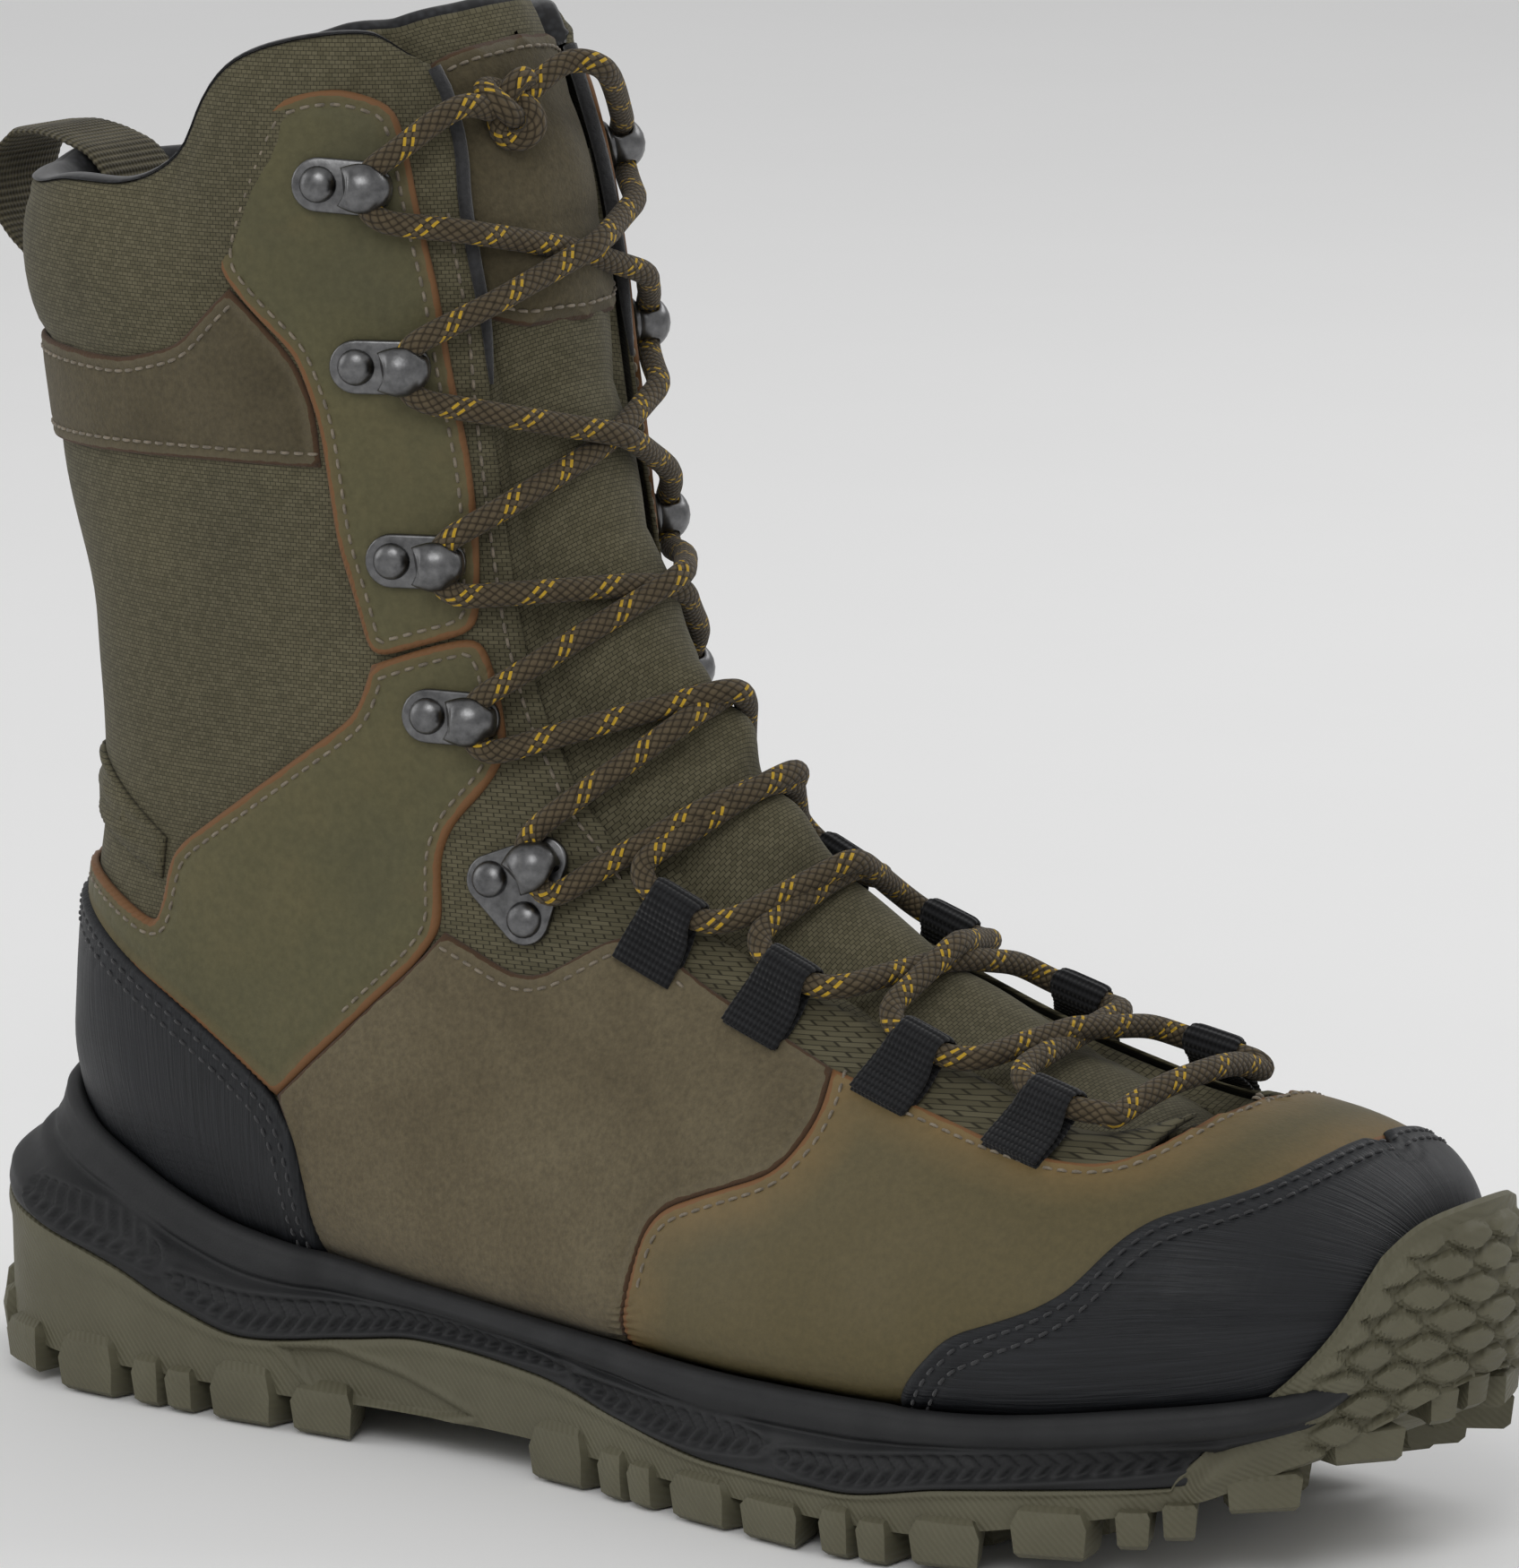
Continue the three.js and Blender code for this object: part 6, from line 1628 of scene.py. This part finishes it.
bumper = ramp_between(plan_x, 279, 283)
top_line = np.where(plan_x > 278, np.maximum(over_x(BUMPER_TOP, plan_x), split_line), split_line)
low_line = tread_level(plan_x)
WALL_ROWS = 56
heights = [top_line + (low_line - top_line) * w for w in np.linspace(0, 1, 9)]
reaches = np.array([upper_reach(h) for h in heights])
rings = []
for w in np.linspace(0, 1, WALL_ROWS):
    z = top_line + (low_line - top_line) * w
    at = w * 8
    k = min(int(at), 7)
    near = reaches[k] + (reaches[k + 1] - reaches[k]) * (at - k)
    plain = 0.5 + 0.5 * bell(w, 0.1, 0.1) - 0.4 * w
    leaned = np.maximum(near + 2.3, 1.4 + 2.2 * bell(w, 0.55, 0.3))
    out = plain * (1 - bumper) + leaned * bumper
    across = plan_run - toe_tip
    rank = np.round((z - 18) / 4.6)
    shifted = across + 5.2 * np.mod(rank, 2)
    cell = (shifted / 10.4 - np.round(shifted / 10.4)) * 10.4
    block = 1 - (np.abs(cell) / 5.4) ** 1.4 - (np.abs(z - 18 - rank * 4.6) / 2.9) ** 1.4
    blocky = ramp_between(block, 0.02, 0.3) * ramp_between(z, 15, 18) * ramp_between(top_line - z, 2.5, 4.5)
    out += 1.5 * blocky * ramp_between(plan_x, 292, 297)
    if w == 0:
        out -= 1.1
    elif w == 1:
        out -= 1.0
    side_points = np.column_stack([plan_x, z])
    away = gap_to(side_points, ARCH_PANEL)
    inner = within(side_points, ARCH_PANEL)
    out += np.where(inner, -1.1 * np.clip(away / 0.8, 0, 1),
                    0.55 * bell(away, 0.9, 0.7)) * (np.abs(plan[:, 1]) > 20)
    rings.append(ring_at(out, z))
rings = np.array(rings)
half = COLUMNS // 2
RUNGS = 14
under, inside = [], []
for j in range(half + 1):
    a, b = rings[-1][j], rings[-1][-j % COLUMNS]
    share = np.linspace(0, 1, RUNGS + 1)[:, None]
    line = a + (b - a) * share
    line[1:-1, 2] = tread_level(line[1:-1, 0]) + 0.2
    under.append(line)
    a, b = (rings[0][c] + [*(-6 * plan_out[c]), -2.0] for c in (j, -j % COLUMNS))
    line = a + (b - a) * share
    line[:, 2] = np.minimum(split_line[j], split_line[-j % COLUMNS]) - 1
    inside.append(line)
shell_points = np.concatenate([rings.reshape(-1, 3), np.concatenate(under), np.concatenate(inside)])
shell_faces = quads(WALL_ROWS, COLUMNS, closed=True).tolist()
base = WALL_ROWS * COLUMNS
shell_faces += [f[::-1] for f in quads(half + 1, RUNGS + 1, first=base).tolist()]
base_in = base + (half + 1) * (RUNGS + 1)
shell_faces += quads(half + 1, RUNGS + 1, first=base_in).tolist()
top = (WALL_ROWS - 1) * COLUMNS


def rung(first, c):
    return first + (c * (RUNGS + 1) if c <= half else (COLUMNS - c) * (RUNGS + 1) + RUNGS)


for j in range(COLUMNS):
    k = (j + 1) % COLUMNS
    shell_faces.append([top + j, top + k, rung(base, k), rung(base, j)])
    shell_faces.append([k, j, rung(base_in, j), rung(base_in, k)])


def lug_block(outline):
    """An angular lug from an outline of (x, y), with its foot bevelled."""
    p = np.asarray(outline, float)
    middle = p.mean(0)
    toward = unit(middle - p)
    low = over_x(SPRING, p[:, 0])
    return stacked([(p + inset * toward, low + up)
                    for inset, up in ((1.6, 0.0), (0.75, 0.9), (0.0, 5.0), (0.4, 8.0))])


def edge_lug(place, long, deep, slant, climb):
    """A lug at a place along the outline, with its outer face running up the side of the sole."""
    j = int(round(place / plan_run[-1] * (COLUMNS - 1))) % COLUMNS
    origin, run, out = plan[j], plan_tangent[j], plan_out[j]
    low = float(over_x(SPRING, origin[0]))
    shape = np.array([(-0.5 * long, 1.9), (-0.18 * long, 2.3), (0.2 * long, 2.3), (0.5 * long, 1.9),
                      (0.46 * long + slant, -0.45 * deep), (0.22 * long + slant, -deep),
                      (-0.3 * long + slant, -0.9 * deep), (-0.5 * long + slant, -0.4 * deep)])
    levels = []
    for inset, up, lean, pinch in ((1.5, 0.0, -0.6, 1.0), (0.7, 1.0, 0.0, 1.0), (0, LUG, 0.0, 1.0),
                                   (0, LUG + climb * 0.55, -0.5, 0.82), (0.5, LUG + climb, -3.4, 0.5)):
        s = shape - inset * unit(shape - shape.mean(0))
        outer = s[:, 1] > 0
        along = s[:, :1] * np.where(outer, pinch, 1)[:, None]
        across = s[:, 1:] + np.where(outer, lean, 0)[:, None]
        levels.append((origin + along * run + across * out, low + up))
    return stacked(levels)


lugs = []
PITCH = 18.2
EDGE_PLACES = int(plan_run[-1] // PITCH)
for i in range(EDGE_PLACES):
    place = (i + 0.5) * plan_run[-1] / EDGE_PLACES
    j = int(place / plan_run[-1] * COLUMNS)
    x = plan_x[j]
    if ARCH[0] < x < ARCH[1]:
        continue
    room = split_line[j] - over_x(SPRING, x) - LUG
    climb = min(7.0, max(1.5, room - 1.5)) * (1.0 if i % 2 else 0.65)
    if i % 3 == 1:
        lugs.append(edge_lug(place - 4.0, 6.0, 12, 1.0, climb))
        lugs.append(edge_lug(place + 3.8, 6.0, 15, 1.0, climb * 0.7))
    else:
        lugs.append(edge_lug(place, 13.5, 14 if i % 2 else 11, 1.8 if i % 2 else -1.4, climb))
ARROW = np.array([(7, 0), (1, 9.5), (-6, 11), (-2.5, 0), (-6, -11), (1, -9.5)])
BAR = np.array([(2.6, -9), (2.6, 9), (-2.6, 11), (-2.6, -11)])
for x, y in ((34, -1), (52, -1), (70, -1), (166, -4), (184, -4), (202, -3), (220, -2), (238, -1), (256, 0),
             (273, 2)):
    lugs.append(lug_block(ARROW * (1, 1.0 if 160 < x < 250 else 0.85) + (x, y)))
for x, y in ((176, 22), (196, 26), (216, 26), (236, 25), (176, -27), (196, -30), (216, -32), (236, -31),
             (256, -24), (256, 24)):
    lugs.append(lug_block(BAR * (1, 0.62) + (x, y)))
for x, y in ((112, -3), (126, -3), (140, -3)):
    lugs.append(lug_block(BAR * (0.8, 1.3) + (x, y)))
shell_faces = facing_out(shell_points, shell_faces)
points, faces = joined((shell_points, shell_faces), *[(p, facing_out(p, f)) for p, f in lugs])
lay = np.column_stack([points[:, 0] / 1000, points[:, 2] / 1000, points[:, 1] / 1000])
outsole = make("outsole_rubber", points, faces, tread_rubber, "tread_rubber", replaces=["outsole"], lay=lay)
outsole.data.set_sharp_from_angle(angle=math.radians(38))

# Footbed: foam with a knitted cover, dished under the heel and ribbed under the forefoot.
bed_cover = Finish("footbed cover", (0.02, 0.021, 0.023), 0.9, Sheen_Weight=0.2)
bed_cover.colored(bed_cover.ramp(bed_cover.noise(900, 3), (0.3, (0.012, 0.0125, 0.014)),
                                 (0.7, (0.032, 0.033, 0.036))))
bed_cover.bumps((bed_cover.noise(1600, 3), 0.0002, 0.6))
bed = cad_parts["footbed"].data
bed_tree = BVHTree.FromPolygons([v.co.copy() for v in bed.vertices], [list(f.vertices) for f in bed.polygons])
BED_TOP = [(10, 40), (20, 40), (40, 38), (70, 36), (200, 35), (270, 36), (292, 41), (301, 46)]
BED_COLUMNS, BED_SHARES = 240, 24
bed_rim = []
for j in range(0, COLUMNS, COLUMNS // BED_COLUMNS):
    middle = np.array([np.clip(plan[j, 0], 45, 255), 0.0, float(over_x(BED_TOP, plan[j, 0])) - 1.5])
    outside = np.array([*plan[j], middle[2]])
    way = unit(middle - outside)
    hit = bed_tree.ray_cast(Vector(row(outside + way * -5)), Vector(way), 0.09)
    bed_rim.append(outside + way * ((hit[3] * 1000 - 5 if hit[0] is not None else 20) + 0.6))
bed_rim = np.array(bed_rim)
for _ in range(4):
    bed_rim = (np.roll(bed_rim, 1, 0) + 2 * bed_rim + np.roll(bed_rim, -1, 0)) / 4
bed_middle = np.column_stack([np.clip(bed_rim[:, 0], 45, 255), np.zeros(len(bed_rim)), bed_rim[:, 2]])
rings = []
for share in [0.97, 1.0, 1.0, 0.985] + list(np.linspace(0.96, 0.02, BED_SHARES)):
    flat = bed_middle + (bed_rim - bed_middle) * share
    rings.append(flat)
rings = np.array(rings)
top = over_x(BED_TOP, rings[..., 0])
deep = ramp_between(np.linspace(0, 1, BED_SHARES), 0.0, 0.35)[:, None]
rings[4:, :, 2] = top[4:] + 1.4 * (1 - deep) * (1 - ramp_between(rings[4:, :, 0], 90, 150))
rings[4:, :, 2] += (0.25 * np.sin(rings[4:, :, 0] * TURN_PHI / 6) * deep
                    * ramp_between(rings[4:, :, 0], 170, 190))
rings[0, :, 2] = top[0] - 3.0
rings[1, :, 2] = top[1] - 2.4
rings[2, :, 2] = top[2] + 0.6 * (1 - ramp_between(rings[2, :, 0], 90, 150))
rings[3, :, 2] = top[3] + 1.2 * (1 - ramp_between(rings[3, :, 0], 90, 150))
n = len(bed_rim)
faces = quads(len(rings), n, closed=True).tolist()
faces += [[(len(rings) - 1) * n + i for i in range(n)], list(range(n))[::-1]]
points = rings.reshape(-1, 3)
make("footbed_foam", points, facing_out(points, faces), bed_cover, "foam", body="footbed_body",
     replaces=["footbed"])

# Pieces inside that the finish hides: each keeps its solid and takes its own material.
fleece = Finish("fleece wadding", (0.55, 0.53, 0.48), 0.95, Sheen_Weight=0.4)
fleece.colored(fleece.ramp(fleece.noise(400, 4), (0.3, (0.45, 0.43, 0.39)), (0.7, (0.62, 0.6, 0.55))))
fleece.bumps((fleece.noise(900, 4), 0.0006, 0.8))
collar_filling = Finish("collar foam", (0.3, 0.3, 0.28), 0.9)
collar_filling.colored(collar_filling.ramp(collar_filling.noise(1200, 2), (0.4, (0.16, 0.16, 0.15)),
                                           (0.6, (0.34, 0.34, 0.32))))
stiff_board = Finish("fibre board", (0.33, 0.24, 0.15), 0.85)
stiff_board.colored(stiff_board.ramp(stiff_board.noise(700, 5), (0.35, (0.24, 0.17, 0.1)),
                                     (0.65, (0.38, 0.28, 0.18))))
spring_steel = Finish("spring steel", (0.4, 0.4, 0.41), 0.35, Metallic=1.0)
spring_steel.rough(spring_steel.noise(600, 3), 0.28, 0.45)
for node, finish in (("insulation", fleece), ("collar_foam", collar_filling), ("heel_counter", stiff_board),
                     ("toe_puff", stiff_board), ("lasting_board", stiff_board), ("shank", spring_steel)):
    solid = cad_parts[node]
    solid.data.materials.clear()
    solid.data.materials.append(finish.material)

# Last, the scene is brought up to date.
bpy.context.view_layer.update()
